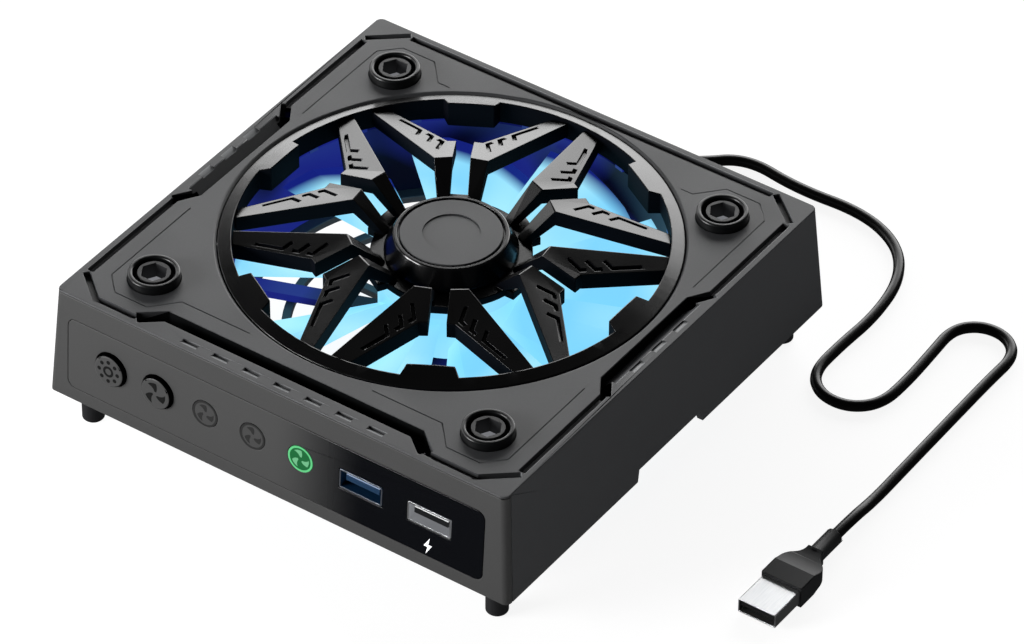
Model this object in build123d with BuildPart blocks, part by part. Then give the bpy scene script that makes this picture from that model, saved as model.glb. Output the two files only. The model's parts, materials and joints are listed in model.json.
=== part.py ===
from build123d import *
import math
import os

os.makedirs("parts", exist_ok=True)

# A square cooling fan that sits on a games console: a low drafted housing with a star grille over a
# lit axial fan, a front panel with two push buttons, three indicators and two sockets, four
# peg feet, and a captive lead with a flat plug.
# Millimetres. Z is up from the surface the feet stand on, the front faces -Y, and the Z axis
# passes through the middle of the square body.

# Body
TOP_SIDE = 150.0  # side of the square top edge
BODY_HEIGHT = 35.3
FLARE = 2.4  # how far each wall leans out between its top and bottom edge
FOOT_HEIGHT = 11.5  # from the surface to the body's bottom edge
CORNER_R = 2.0
WALL = 2.0
DECK = 3.0  # thickness of the top
FASCIA = 2.4  # thickness of the separate front wall
SEAM_DROP = 0.7  # from the deck down to the seam above the fascia
FIT = 0.15  # gap between pieces that locate in each other
NOTCH_LENGTH = 33.5  # hand notch in the bottom edge of each side wall
NOTCH_HEIGHT = 3.7

# Grooves in the deck
CHANNEL_WIDTH = 2.0
CHANNEL_DEPTH = 1.6
CHANNEL_INSET = 2.9  # from the top edge to the channel's middle
TROUGH_DEPTH = 4.8  # the wide dark troughs at the front and sides
TROUGH_FLOOR = 1.2
FRONT_TROUGH_WIDTH = 4.2
FRONT_TROUGH_INSET = 8.1  # from the top edge to the trough's middle
SIDE_TROUGH_WIDTH = 3.0
SIDE_TROUGH_INSET = 6.1
TROUGH_SLANT = 6.0  # how far the slanted end of a side trough runs along the body
SIDE_SLOPE = 4.6  # width of the slope between the side trough's inner wall and the lip
SIDE_SLOPE_DEPTH = 4.0
LIP_SLOT_LENGTH = 5.4
LIP_SLOT_WIDTH = 1.9
LIP_SLOT_DEPTH = 0.9  # at the inner side, from where the floor rises to the lip
LIP_SLOT_INSET = 1.4  # from the top edge to where the floor meets the lip
LIP_PITCH = 10.35
LINE_WIDTH = 0.4  # engraved lines round the corner bosses
LINE_DEPTH = 0.35

# Fan opening, bezel and grille
FAN_Y = 5.4  # the fan's axis, behind the middle of the body
FAN_MARGIN = 13.6  # from the top edge in to the duct's bore
DUCT_WALL = 2.4
RING_LAP = 0.7  # how far the bezel reaches past the duct's outside
RING_STEP = 0.8  # how much smaller the bezel's bore is than the duct's, in radius
RING_DEPTH = 6.0
RING_RISE = 1.0  # of the bezel's cone above the deck, at its bore
RING_SLOPE = 0.36  # rise of the bezel's cone towards the middle
TAB_REACH = 3.6  # from the bezel's bore in to a tab's straight edge
TAB_INNER = 13.2
TAB_OUTER = 20.0
DECK_CHAMFER = 0.8
POINTS = 6  # arms and tabs repeat this many times round the fan
SHOULDER_R = 28.0
SHOULDER_HALF = 7.5
SHOULDER_RISE = 5.25
SLIT_HALF = 2.5
SLIT_CROWN = 0.15  # how much an arm rises from its shoulder towards the slit
HEEL_R = 39.8
HEEL_HALF = 5.0
HEEL_RISE = 2.25
TIP_ANGLE = 27.3  # from an arm pair's middle line to its outer tip corner
TIP_INNER_ANGLE = 22.5
ARM_DEPTH = 5.0
SLOT_WIDTH = 1.1  # recesses in an arm's top
SLOT_DEPTH = 0.9
SLOT_INSET = 1.9  # from an arm's inner edge
ARM_SLOTS = ((1.25, 1.8, 5.3), (5.5, 2.1, 3.8), (10.4, 8.5, 3.4))  # place and leg lengths
HUB_BASE_R = 22.5
HUB_BASE_TOP = 4.5  # below the deck
HUB_BASE_THICK = 2.5
CAP_RISE = 1.8
CAP_TOP_R = 14.3
CAP_RIM_R = 16.0
CAP_SKIRT_R = 18.7
CAP_GROOVE = 0.7

# Corner bosses on the deck
BOSS_INSET_X = 19.1  # from the top edge
BOSS_INSET_Y = 19.0
BOSS_R = 7.3
BOSS_BORE_R = 5.85
BOSS_RISE = 2.7
BOSS_SEAT = 1.0
BUSH_R = 4.65
BUSH_RISE = 2.2
HEX_ACROSS = 7.7  # across the corners of the bush's socket

# Fan
BLADES = 9
BLADE_GAP = 1.2
ROTOR_HUB_R = 20.5
ROTOR_TOP = 11.0  # below the deck
ROTOR_HEIGHT = 15.5
ROTOR_SKIN = 1.5
BLADE_THICK = 1.6
BLADE_CAMBER = 0.07  # rise of a blade's arch as a share of its chord
ROOT_CHORD = 15.0
ROOT_PITCH = 36.0
TIP_CHORD = 41.0
TIP_PITCH = 20.0
SHAFT_R = 1.5
SHAFT_FIT = 0.05
BEARING_R = 4.0
BEARING_HEIGHT = 4.0
TUBE_WALL = 1.2
MAGNET_THICK = 2.0
AIR_GAP = 0.5
STATOR_HEIGHT = 7.0
STATOR_TEETH = 8
MOTOR_BASE_R = 22.0
MOTOR_BASE_THICK = 2.4
STRUTS = 4
STRUT_WIDTH = 5.0
LUG_R = 4.5
LUG_THICK = 3.0

# Bottom cover, screws and feet
COVER_RECESS = 1.7  # from the walls' bottom edge up to the cover
COVER_THICK = 2.2
INTAKE_STEP = 3.4  # how much smaller the intake is than the duct's bore, in radius
INTAKE_RIB = 2.5
INTAKE_RINGS = 4
INTAKE_SPOKES = 6
INTAKE_HUB_R = 16.0
FOOT_R = 3.2
FOOT_INSET_X = 6.5  # from the top edge
FOOT_INSET_Y = 5.5
SPIGOT_R = 1.8
POST_INSET_X = 6.0
POST_INSET_Y = 25.0
POST_R = 3.6
SCREW_R = 1.4
SCREW_HEAD_R = 2.6
SCREW_HEAD = 1.6
SCREW_BITE = 8.0

# Front panel, in the tilted plane of the front wall
ROW_DROP = 18.7  # from the deck down to the row of controls
WINDOW_MARGIN = 10.5  # how much shorter the window is than the top edge
WINDOW_HEIGHT = 23.0
WINDOW_LOW = 0.75  # how far the window's middle lies below the row
WINDOW_CORNER = 2.5
WINDOW_THICK = 1.2
WINDOW_X = -1.0
LIGHT_INSET = 19.2  # from the top edge's left end to the light button
CHARGE_INSET = 24.0  # from its right end to the charging socket
SOCKET_PITCH = 22.5
SOCKET_ROOM = 13.0  # from the last indicator's middle to the data socket's side
BUTTON_R = 5.0
BUTTON_PROUD = 1.4
BUTTON_GAP = 0.35
BUTTON_TRAVEL = 0.5
BUTTON_FLANGE = 0.9
INDICATOR_R = 4.1
BOARD_BACK = 13.2  # from the wall's face back to the circuit board
BOARD_THICK = 1.6
BOARD_MARGIN = 26.0  # how much shorter the circuit board is than the top edge
BOARD_HEIGHT = 20.0
BOARD_X = -3.0
SWITCH_SIDE = 6.0
SWITCH_DEEP = 3.5
PLUNGER_R = 1.7
PLUNGER_ROOM = 0.7  # what is left of the plunger when its button is in
SOCKET_WIDTH = 14.2
SOCKET_HEIGHT = 6.3
SOCKET_WALL = 0.5
TONGUE_WIDTH = 11.1
TONGUE_THICK = 1.9

# Lead and plug
CORD_D = 3.3
CORD_SIDES = 6
GLAND_X = -20.0
GLAND_R = 3.4
GLAND_ROOM = 0.2  # between the gland's flange and the bottom cover
GLAND_TAIL = 12.0
PLUG_X = 128.0
PLUG_BACK_Y = 4.7
PLUG_FRONT_Y = -21.7
PLUG_NECK_Y = -4.7
PLUG_WIDTH = 13.0
PLUG_HEIGHT = 6.8
PLUG_NECK = 5.0
PLUG_PANEL = 6.5  # length of the flat panel on the moulding's top
PLUG_STRAIGHT = 9.0  # length of the moulding's parallel sides
PLUG_SCOOP = 0.75  # depth of the finger scoop behind the panel
PLUG_SHELL_WIDTH = 12.0
PLUG_SHELL_HEIGHT = 4.5
PLUG_SHELL_LENGTH = 11.8
PLUG_SHELL_WALL = 0.4

# Places that follow from those sizes
TOP_Z = FOOT_HEIGHT + BODY_HEIGHT
COVER_Z = FOOT_HEIGHT + COVER_RECESS
COVER_TOP = COVER_Z + COVER_THICK
HALF = TOP_SIDE / 2
DUCT_R = HALF - FAN_MARGIN
RING_R = DUCT_R + DUCT_WALL + RING_LAP
RING_BORE_R = DUCT_R - RING_STEP
TAB_APOTHEM = RING_BORE_R - TAB_REACH
INTAKE_R = DUCT_R - INTAKE_STEP
RING_FOOT_Z = TOP_Z - RING_DEPTH
CHARGE_X = HALF - CHARGE_INSET
DATA_X = CHARGE_X - SOCKET_PITCH
LIGHT_X = -HALF + LIGHT_INSET
ROW_PITCH = (DATA_X - SOCKET_WIDTH / 2 - SOCKET_ROOM - LIGHT_X) / 4
WINDOW_LENGTH = TOP_SIDE - WINDOW_MARGIN
BOARD_LENGTH = TOP_SIDE - BOARD_MARGIN
PLUNGER_SHOWN = BUTTON_TRAVEL + PLUNGER_ROOM
GLAND_Z = COVER_TOP + GLAND_R + GLAND_ROOM
ROTOR_TOP_Z = TOP_Z - ROTOR_TOP
FAN_AXIS = Axis((0, FAN_Y, 0), (0, 0, 1))
FAN_SECTION = Plane(origin=(0, FAN_Y, 0), x_dir=(1, 0, 0), z_dir=(0, -1, 0))
DRAFT = math.atan2(FLARE, BODY_HEIGHT)


def half_side(z):
    """Half the body's outside width at height z."""
    return TOP_SIDE / 2 + FLARE * (TOP_Z - z) / BODY_HEIGHT


FRONT = Plane(
    origin=(0, -half_side(TOP_Z - ROW_DROP), TOP_Z - ROW_DROP),
    x_dir=(1, 0, 0),
    z_dir=(0, -math.cos(DRAFT), math.sin(DRAFT)),
)
FAN_PLANE = Plane((0, FAN_Y, 0))


def save(piece, name):
    """Labels a finished piece and writes its file."""
    piece.part.label = name
    export_step(piece.part, f"parts/{name}.step")


def drafted_block(inset, low_z, high_z, corner):
    """A square block parallel to the body's outside, inset by a wall's thickness."""
    with BuildPart() as block:
        for z in (low_z, high_z):
            side = 2 * (half_side(z) - inset)
            with BuildSketch(Plane.XY.offset(z)):
                RectangleRounded(side, side, corner)
        loft()
    return block.part


def front_slab(thickness, low_z, high_z):
    """A slab as wide as the body that follows the front wall's draft."""
    with BuildPart() as slab:
        with BuildSketch(Plane.YZ):
            with BuildLine():
                Polyline(
                    (-half_side(low_z) - WALL, low_z),
                    (-half_side(low_z) + thickness, low_z),
                    (-half_side(high_z) + thickness, high_z),
                    (-half_side(high_z) - WALL, high_z),
                    close=True,
                )
            make_face()
        extrude(amount=TOP_SIDE, both=True)
    return slab.part


def stroke(points, width):
    """The corners of a band of one width along a chain of points, with mitred bends."""
    normals = []
    for start, end in zip(points, points[1:]):
        run = math.dist(start, end)
        normals.append(((start[1] - end[1]) / run, (end[0] - start[0]) / run))
    side = []
    for index, (x, y) in enumerate(points):
        before = normals[max(index - 1, 0)]
        after = normals[min(index, len(normals) - 1)]
        blend = 1 + before[0] * after[0] + before[1] * after[1]
        reach = width / 2 / blend
        side.append((x, y, (before[0] + after[0]) * reach, (before[1] + after[1]) * reach))
    left = [(x + dx, y + dy) for x, y, dx, dy in side]
    right = [(x - dx, y - dy) for x, y, dx, dy in side]
    return left + right[::-1]


def polar(radius, angle):
    """A point in the plan at a radius and an angle in degrees."""
    return radius * math.cos(math.radians(angle)), radius * math.sin(math.radians(angle))


# Blocks that more than one piece is cut from
outer_body = drafted_block(0, FOOT_HEIGHT, TOP_Z, CORNER_R)
inner_space = drafted_block(WALL, FOOT_HEIGHT - WALL, TOP_Z - DECK, CORNER_R / 2)
fascia_space = front_slab(FASCIA + FIT, FOOT_HEIGHT - WALL, TOP_Z - SEAM_DROP + FIT)
fascia_slab = front_slab(FASCIA, FOOT_HEIGHT, TOP_Z - SEAM_DROP)
POST_PLACES = [
    (sx * (HALF - POST_INSET_X), sy * (HALF - POST_INSET_Y)) for sx in (-1, 1) for sy in (-1, 1)
]
BOSS_PLACES = {
    f"{depth}_{side}": (sx * (HALF - BOSS_INSET_X), sy * (HALF - BOSS_INSET_Y))
    for depth, sy in (("front", -1), ("back", 1))
    for side, sx in (("left", -1), ("right", 1))
}
FOOT_PLACES = {
    f"{depth}_{side}": (sx * (HALF - FOOT_INSET_X), sy * (HALF - FOOT_INSET_Y))
    for depth, sy in (("front", -1), ("back", 1))
    for side, sx in (("left", -1), ("right", 1))
}

# The troughs, channels and lines of the deck, as chains of points in the plan. Distances to the
# body's sides are written from its middle, so they follow its size.
EDGE = HALF - CHANNEL_INSET
front_trough = [
    (-HALF + 25.5, -EDGE),
    (-HALF + 32.0, -HALF + FRONT_TROUGH_INSET),
    (HALF - 34.5, -HALF + FRONT_TROUGH_INSET),
    (HALF - 28.0, -EDGE),
]
SIDE_TROUGH_X = HALF - SIDE_TROUGH_INSET
SLOPE_START_Y = -19.5
SLOPE_END_Y = 21.0
TROUGH_START_Y = SLOPE_START_Y - TROUGH_SLANT
TROUGH_END_Y = SLOPE_END_Y + TROUGH_SLANT
side_trough_ends = [
    [(side * (EDGE + 0.6), end_y), (side * SIDE_TROUGH_X, slope_y), (side * SIDE_TROUGH_X, inner_y)]
    for side in (-1, 1)
    for end_y, slope_y, inner_y in (
        (TROUGH_START_Y, SLOPE_START_Y, SLOPE_START_Y + 1.5),
        (TROUGH_END_Y, SLOPE_END_Y, SLOPE_END_Y - 1.5),
    )
]
channels = [
    [(side * EDGE, TROUGH_END_Y), (side * EDGE, HALF - 11.5)] for side in (-1, 1)
] + [
    [(side * EDGE, TROUGH_START_Y), (side * EDGE, -HALF + 11.5)] for side in (-1, 1)
] + [
    [(-HALF + 13.5, EDGE), (HALF - 13.5, EDGE)],
    [(-HALF + 11.0, -EDGE), front_trough[0]],
    [front_trough[-1], (HALF - 11.0, -EDGE)],
]
corner_slots = [
    [(sx * (HALF - 12.5), sy * (HALF - 2.0)), (sx * (HALF - 2.4), sy * (HALF - 10.4))]
    for sx in (-1, 1)
    for sy in (-1, 1)
]
boss_lines = [
    [
        (sx * (HALF - 8.7), sy * (HALF - 49.0)),
        (sx * (HALF - 8.7), sy * (HALF - 13.5)),
        (sx * (HALF - 14.0), sy * (HALF - 8.0)),
        (sx * (HALF - 25.0), sy * (HALF - 8.0)),
        (sx * (HALF - 31.5), sy * (HALF - 15.3)),
        (sx * (HALF - line_end), sy * (HALF - 15.3)),
    ]
    for sx in (-1, 1)
    for sy, line_end in ((-1, 54.5), (1, 35.5))
]
lip_slots = [(x * LIP_PITCH, -HALF + LIP_SLOT_INSET, 0) for x in range(-3, 4)] + [
    (side * (HALF - LIP_SLOT_INSET), y * LIP_PITCH, side * 90) for side in (-1, 1) for y in (-1, 0, 1)
]

# One recess of the lip: deepest at its inner side, with a floor that rises to the lip's edge
with BuildPart() as lip_scoop:
    with BuildSketch(Plane.YZ):
        Polygon((0, 0), (LIP_SLOT_WIDTH, 0), (LIP_SLOT_WIDTH, -LIP_SLOT_DEPTH), align=None)
    extrude(amount=LIP_SLOT_LENGTH / 2, both=True)

# The slope of the side troughs, from the foot of the inner wall up to the lip
SLOPE_IN_X = SIDE_TROUGH_X - SIDE_TROUGH_WIDTH / 2
with BuildPart() as side_slopes:
    with BuildSketch(Plane.XZ.offset(-SLOPE_START_Y)):
        for side in (-1, 1):
            Polygon(
                (side * SLOPE_IN_X, TOP_Z),
                (side * SLOPE_IN_X, TOP_Z - SIDE_SLOPE_DEPTH),
                (side * (SLOPE_IN_X + SIDE_SLOPE), TOP_Z),
                align=None,
            )
    extrude(amount=SLOPE_START_Y - SLOPE_END_Y)

with BuildPart() as upper_housing:
    add(outer_body)
    add(inner_space, mode=Mode.SUBTRACT)
    with BuildSketch(Plane.XY.offset(TOP_Z - DECK)):
        for width, floor_points in (
            (FRONT_TROUGH_WIDTH, [front_trough]),
            (SIDE_TROUGH_WIDTH, side_trough_ends),
        ):
            for points in floor_points:
                Polygon(*stroke(points, width + 2 * TROUGH_FLOOR), align=None)
        for side in (-1, 1):
            with Locations((side * SIDE_TROUGH_X, (SLOPE_START_Y + SLOPE_END_Y) / 2)):
                Rectangle(SIDE_TROUGH_WIDTH + 2 * TROUGH_FLOOR, SLOPE_END_Y - SLOPE_START_Y)
    extrude(amount=DECK - TROUGH_DEPTH - TROUGH_FLOOR)
    with BuildSketch(Plane.XY.offset(TOP_Z)):
        Polygon(*stroke(front_trough, FRONT_TROUGH_WIDTH), align=None)
        for points in side_trough_ends:
            Polygon(*stroke(points, SIDE_TROUGH_WIDTH), align=None)
    extrude(amount=-TROUGH_DEPTH, mode=Mode.SUBTRACT)
    add(side_slopes.part, mode=Mode.SUBTRACT)
    with BuildSketch(Plane.XY.offset(TOP_Z)):
        for points in channels + corner_slots:
            Polygon(*stroke(points, CHANNEL_WIDTH), align=None)
    extrude(amount=-CHANNEL_DEPTH, mode=Mode.SUBTRACT)
    with BuildSketch(Plane.XY.offset(TOP_Z)):
        for points in boss_lines:
            Polygon(*stroke(points, LINE_WIDTH), align=None)
    extrude(amount=-LINE_DEPTH, mode=Mode.SUBTRACT)
    with Locations(*[Location((x, y, TOP_Z), (0, 0, turn)) for x, y, turn in lip_slots]):
        add(lip_scoop.part, mode=Mode.SUBTRACT)
    with BuildSketch(Plane.XY.offset(COVER_TOP)):
        with Locations(*POST_PLACES):
            Circle(POST_R)
    extrude(amount=TOP_Z - DECK - COVER_TOP)
    with BuildSketch(Plane.XY.offset(COVER_TOP)):
        with Locations(*POST_PLACES):
            Circle(SCREW_R + SHAFT_FIT)
    extrude(amount=SCREW_BITE + 1.0, mode=Mode.SUBTRACT)
    with BuildSketch(FAN_PLANE.offset(TOP_Z - DECK - TROUGH_DEPTH)):
        Circle(RING_R + FIT)
    extrude(amount=DECK + 2 * TROUGH_DEPTH, mode=Mode.SUBTRACT)
    top_edges = upper_housing.edges().filter_by_position(Axis.Z, TOP_Z, TOP_Z)
    chamfer(top_edges.filter_by(GeomType.CIRCLE).sort_by(SortBy.RADIUS)[-1], DECK_CHAMFER)
    with BuildSketch(Plane.XY.offset(TOP_Z)):
        with Locations(*BOSS_PLACES.values()):
            Circle(BOSS_R + FIT)
    extrude(amount=-BOSS_SEAT, mode=Mode.SUBTRACT)
    with BuildSketch(Plane.XY.offset(TOP_Z)):
        with Locations(*BOSS_PLACES.values()):
            Circle(BUSH_R + FIT)
    extrude(amount=-DECK, mode=Mode.SUBTRACT)
    with BuildSketch(Plane.YZ):
        with Locations((0, FOOT_HEIGHT)):
            Trapezoid(
                NOTCH_LENGTH, 2 * NOTCH_HEIGHT, 75, align=(Align.CENTER, Align.CENTER)
            )
    extrude(amount=TOP_SIDE, both=True, mode=Mode.SUBTRACT)
    with BuildSketch(Plane.XZ.offset(-TOP_SIDE / 2 + 2 * WALL)):
        with Locations((GLAND_X, GLAND_Z)):
            Circle(GLAND_R - 1.0 + FIT)
    extrude(amount=-4 * WALL, mode=Mode.SUBTRACT)
    add(fascia_space, mode=Mode.SUBTRACT)
save(upper_housing, "upper_housing")

row_x = [LIGHT_X + step * ROW_PITCH for step in range(5)]
button_x = row_x[:2]
indicator_x = row_x[2:]
socket_x = {"data": DATA_X, "charge": CHARGE_X}
window_place = (WINDOW_X, -WINDOW_LOW)


def cut_row(button_r, indicator_r, socket_room):
    """Draws the holes of the row of controls in the sketch that is open."""
    with Locations(*[(x, 0) for x in button_x]):
        Circle(button_r)
    with Locations(*[(x, 0) for x in indicator_x]):
        Circle(indicator_r)
    with Locations(*[(x, 0) for x in socket_x.values()]):
        Rectangle(SOCKET_WIDTH + 2 * socket_room, SOCKET_HEIGHT + 2 * socket_room)


with BuildPart() as front_fascia:
    add(outer_body)
    add(fascia_slab, mode=Mode.INTERSECT)
    with BuildSketch(FRONT):
        with Locations(window_place):
            RectangleRounded(WINDOW_LENGTH + 2 * FIT, WINDOW_HEIGHT + 2 * FIT, WINDOW_CORNER + FIT)
    extrude(amount=-WINDOW_THICK, mode=Mode.SUBTRACT)
    with BuildSketch(FRONT):
        cut_row(BUTTON_R + BUTTON_GAP, INDICATOR_R + FIT, FIT)
    extrude(amount=-2 * FASCIA, mode=Mode.SUBTRACT)
save(front_fascia, "front_fascia")

with BuildPart() as control_window:
    with BuildSketch(FRONT):
        with Locations(window_place):
            RectangleRounded(WINDOW_LENGTH, WINDOW_HEIGHT, WINDOW_CORNER)
        with Locations(*[(x, 0) for x in button_x]):
            Circle(BUTTON_R + BUTTON_GAP, mode=Mode.SUBTRACT)
        with Locations(*[(x, 0) for x in indicator_x]):
            Circle(INDICATOR_R + FIT, mode=Mode.SUBTRACT)
        with Locations(*[(x, 0) for x in socket_x.values()]):
            Rectangle(SOCKET_WIDTH + 2 * FIT, SOCKET_HEIGHT + 2 * FIT, mode=Mode.SUBTRACT)
    extrude(amount=-WINDOW_THICK)
save(control_window, "control_window")

# Push buttons: a cap, a flange that stops behind the fascia, and a stem to the switch
switch_face = BOARD_BACK - SWITCH_DEEP
stem_end = switch_face - PLUNGER_SHOWN
flange_face = FASCIA + FIT
for name, x in zip(("light", "speed"), button_x):
    with BuildPart() as button:
        with BuildSketch(FRONT.offset(BUTTON_PROUD)):
            with Locations((x, 0)):
                Circle(BUTTON_R)
        extrude(amount=-(BUTTON_PROUD + flange_face + BUTTON_FLANGE))
        with BuildSketch(FRONT.offset(-flange_face)):
            with Locations((x, 0)):
                Circle(BUTTON_R + 3 * BUTTON_GAP)
        extrude(amount=-BUTTON_FLANGE)
        with BuildSketch(FRONT.offset(-flange_face)):
            with Locations((x, 0)):
                Circle(PLUNGER_R)
        extrude(amount=-(stem_end - flange_face))
        chamfer(button.faces().sort_by(Axis(FRONT.origin, FRONT.z_dir))[-1].edges(), 0.4)
    save(button, f"{name}_button")

    with BuildPart() as plunger:
        with BuildSketch(FRONT.offset(-stem_end)):
            with Locations((x, 0)):
                Circle(PLUNGER_R)
        extrude(amount=-(PLUNGER_SHOWN + 1.2))
    save(plunger, f"{name}_switch_plunger")

    with BuildPart() as switch:
        with BuildSketch(FRONT.offset(-switch_face)):
            with Locations((x, 0)):
                Rectangle(SWITCH_SIDE, SWITCH_SIDE)
        extrude(amount=-SWITCH_DEEP)
        with BuildSketch(FRONT.offset(-switch_face)):
            with Locations((x, 0)):
                Circle(PLUNGER_R + SHAFT_FIT)
        extrude(amount=-(SWITCH_DEEP - 0.8), mode=Mode.SUBTRACT)
    save(switch, f"{name}_switch")

# Indicators: light pipes flush with the window, each lit by a lamp on the board
for name, x in zip(("low", "middle", "high"), indicator_x):
    with BuildPart() as lens:
        with BuildSketch(FRONT):
            with Locations((x, 0)):
                Circle(INDICATOR_R)
        extrude(amount=-(FASCIA + 0.6))
        with BuildSketch(FRONT.offset(-FASCIA - FIT)):
            with Locations((x, 0)):
                Circle(INDICATOR_R + 0.9)
        extrude(amount=-1.0)
        with BuildSketch(FRONT.offset(-FASCIA - 0.6)):
            with Locations((x, 0)):
                Circle(INDICATOR_R / 2)
        extrude(amount=-(BOARD_BACK - 1.2 - FASCIA - 0.6))
    save(lens, f"{name}_indicator")

with BuildPart() as indicator_lamps:
    with BuildSketch(FRONT.offset(-BOARD_BACK)):
        with Locations(*[(x, 0) for x in indicator_x]):
            Rectangle(3.0, 2.4)
    extrude(amount=1.0)
save(indicator_lamps, "indicator_lamps")

with BuildPart() as control_board:
    with BuildSketch(FRONT.offset(-BOARD_BACK)):
        with Locations((BOARD_X, 0)):
            Rectangle(BOARD_LENGTH, BOARD_HEIGHT)
    extrude(amount=-BOARD_THICK)
save(control_board, "control_board")

# Sockets: a folded metal shell with a rolled lip round a plastic tongue
for name, x in socket_x.items():
    with BuildPart() as shell:
        with BuildSketch(FRONT):
            with Locations((x, 0)):
                RectangleRounded(SOCKET_WIDTH, SOCKET_HEIGHT, 0.7)
        extrude(amount=-BOARD_BACK)
        with BuildSketch(FRONT):
            with Locations((x, 0)):
                Rectangle(SOCKET_WIDTH - 2 * SOCKET_WALL, SOCKET_HEIGHT - 2 * SOCKET_WALL)
        extrude(amount=-(BOARD_BACK - 1.0), mode=Mode.SUBTRACT)
    save(shell, f"{name}_socket_shell")

    with BuildPart() as tongue:
        with BuildSketch(FRONT.offset(-1.0)):
            with Locations((x, SOCKET_HEIGHT / 2 - SOCKET_WALL - 1.3 - TONGUE_THICK / 2)):
                Rectangle(TONGUE_WIDTH, TONGUE_THICK)
        extrude(amount=-(BOARD_BACK - 3.0))
        with BuildSketch(FRONT.offset(-BOARD_BACK + 2.0)):
            with Locations((x, 0)):
                Rectangle(
                    SOCKET_WIDTH - 2 * SOCKET_WALL - 2 * FIT,
                    SOCKET_HEIGHT - 2 * SOCKET_WALL - 2 * FIT,
                )
        extrude(amount=-1.0)
    save(tongue, f"{name}_socket_tongue")

# Bezel: a shallow cone round the fan, which six tabs carry on towards its middle
with BuildPart() as ring_bezel:
    with BuildSketch(FAN_SECTION):
        with BuildLine():
            Polyline(
                (RING_R, RING_FOOT_Z),
                (RING_R, TOP_Z + RING_RISE - RING_SLOPE * (RING_R - RING_BORE_R)),
                (TAB_APOTHEM - 1, TOP_Z + RING_RISE + RING_SLOPE * (TAB_REACH + 1)),
                (TAB_APOTHEM - 1, RING_FOOT_Z),
                close=True,
            )
        make_face()
    revolve(axis=FAN_AXIS)
    with BuildSketch(FAN_PLANE.offset(RING_FOOT_Z)):
        Circle(RING_BORE_R)
        with PolarLocations(0, POINTS):
            Polygon(
                (TAB_APOTHEM, -TAB_INNER / 2),
                (RING_R, -TAB_OUTER / 2),
                (RING_R, TAB_OUTER / 2),
                (TAB_APOTHEM, TAB_INNER / 2),
                align=None,
                mode=Mode.SUBTRACT,
            )
    extrude(amount=2 * RING_DEPTH, mode=Mode.SUBTRACT)
save(ring_bezel, "ring_bezel")


def height_over(place, corners):
    """The height at a place in the plan of the plane through three corners."""
    normal = (Vector(corners[1]) - Vector(corners[0])).cross(Vector(corners[2]) - Vector(corners[0]))
    step = Vector(*place, 0) - Vector(corners[0][0], corners[0][1], 0)
    return corners[0][2] - (normal.X * step.X + normal.Y * step.Y) / normal.Z


def arm_top(sign):
    """The corners of one arm's top: a flat blade, and a flat elbow beside the slit."""
    tip_r = RING_BORE_R - FIT
    shoulder = (SHOULDER_R, sign * SHOULDER_HALF, TOP_Z + SHOULDER_RISE)
    shoulder_in = (SHOULDER_R + 0.7, sign * SLIT_HALF, TOP_Z + SHOULDER_RISE + SLIT_CROWN)
    heel = (HEEL_R, sign * HEEL_HALF, TOP_Z + HEEL_RISE)
    heel_in = (HEEL_R, sign * SLIT_HALF)
    heel_in = (*heel_in, height_over(heel_in, (shoulder, shoulder_in, heel)))
    tip = (*polar(tip_r, sign * TIP_ANGLE), TOP_Z)
    tip_in = polar(tip_r, sign * TIP_INNER_ANGLE)
    tip_in = (*tip_in, height_over(tip_in, (shoulder, heel, tip)))
    return shoulder, shoulder_in, heel, heel_in, tip, tip_in


def arm_slots(sign):
    """The plane of one arm's blade, and the chains of its three recesses on that plane."""
    shoulder, _, heel, _, tip, tip_in = arm_top(sign)
    edge = (Vector(tip_in) - Vector(heel)).normalized()
    fold = (Vector(shoulder) - Vector(heel)).normalized()
    upward = edge.cross(fold) * sign
    top = Plane(origin=heel, x_dir=edge, z_dir=upward)
    chains = []
    for place, edge_leg, fold_leg in ARM_SLOTS:
        bend = edge * place + fold * SLOT_INSET
        corners = (bend + edge * edge_leg, bend, bend + fold * fold_leg)
        local = [top.to_local_coords(Vector(heel) + corner) for corner in corners]
        chains.append([(point.X, point.Y) for point in local])
    return top, chains


def arm_blocks(sign):
    """The corner points of the convex blocks that make one arm, on one side of the slit."""
    shoulder, shoulder_in, heel, heel_in, tip, tip_in = arm_top(sign)
    root_z = TOP_Z - HUB_BASE_TOP
    root_r = CAP_SKIRT_R + 0.3
    root = (root_r, sign * (SHOULDER_HALF - 1.8), root_z + 0.6)
    root_in = (root_r, sign * SLIT_HALF, root_z + 0.6)

    def underside(points, depth):
        """The same corners, lower."""
        return [(x, y, z - depth) for x, y, z in points]

    block = [shoulder, shoulder_in, heel_in, heel]
    blade = [shoulder, heel, tip_in, tip]
    drop = [shoulder, shoulder_in, root_in, root]
    return [
        block + underside(block, ARM_DEPTH),
        blade + underside(blade, ARM_DEPTH),
        drop + underside(drop[:2], ARM_DEPTH) + underside(drop[2:], HUB_BASE_THICK),
    ]


with BuildPart() as arm_pair:
    for sign in (-1, 1):
        for points in arm_blocks(sign):
            ConvexPolyhedron(points)
    for sign in (-1, 1):
        arm_face, slot_chains = arm_slots(sign)
        with BuildSketch(arm_face):
            for points in slot_chains:
                Polygon(*stroke(points, SLOT_WIDTH), align=None)
        extrude(amount=-SLOT_DEPTH, mode=Mode.SUBTRACT)
    with BuildSketch(Plane.XY.offset(TOP_Z - HUB_BASE_TOP - HUB_BASE_THICK)):
        with Locations((CAP_SKIRT_R + 3.0, 0)):
            Rectangle(6.0, 2 * SHOULDER_HALF - 4.0)
    extrude(amount=HUB_BASE_THICK)

with BuildPart() as star_grille:
    with BuildSketch(FAN_PLANE.offset(TOP_Z - HUB_BASE_TOP - HUB_BASE_THICK)):
        Circle(HUB_BASE_R)
    extrude(amount=HUB_BASE_THICK)
    with Locations((0, FAN_Y)):
        with PolarLocations(0, POINTS):
            add(arm_pair.part)
save(star_grille, "star_grille")

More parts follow.
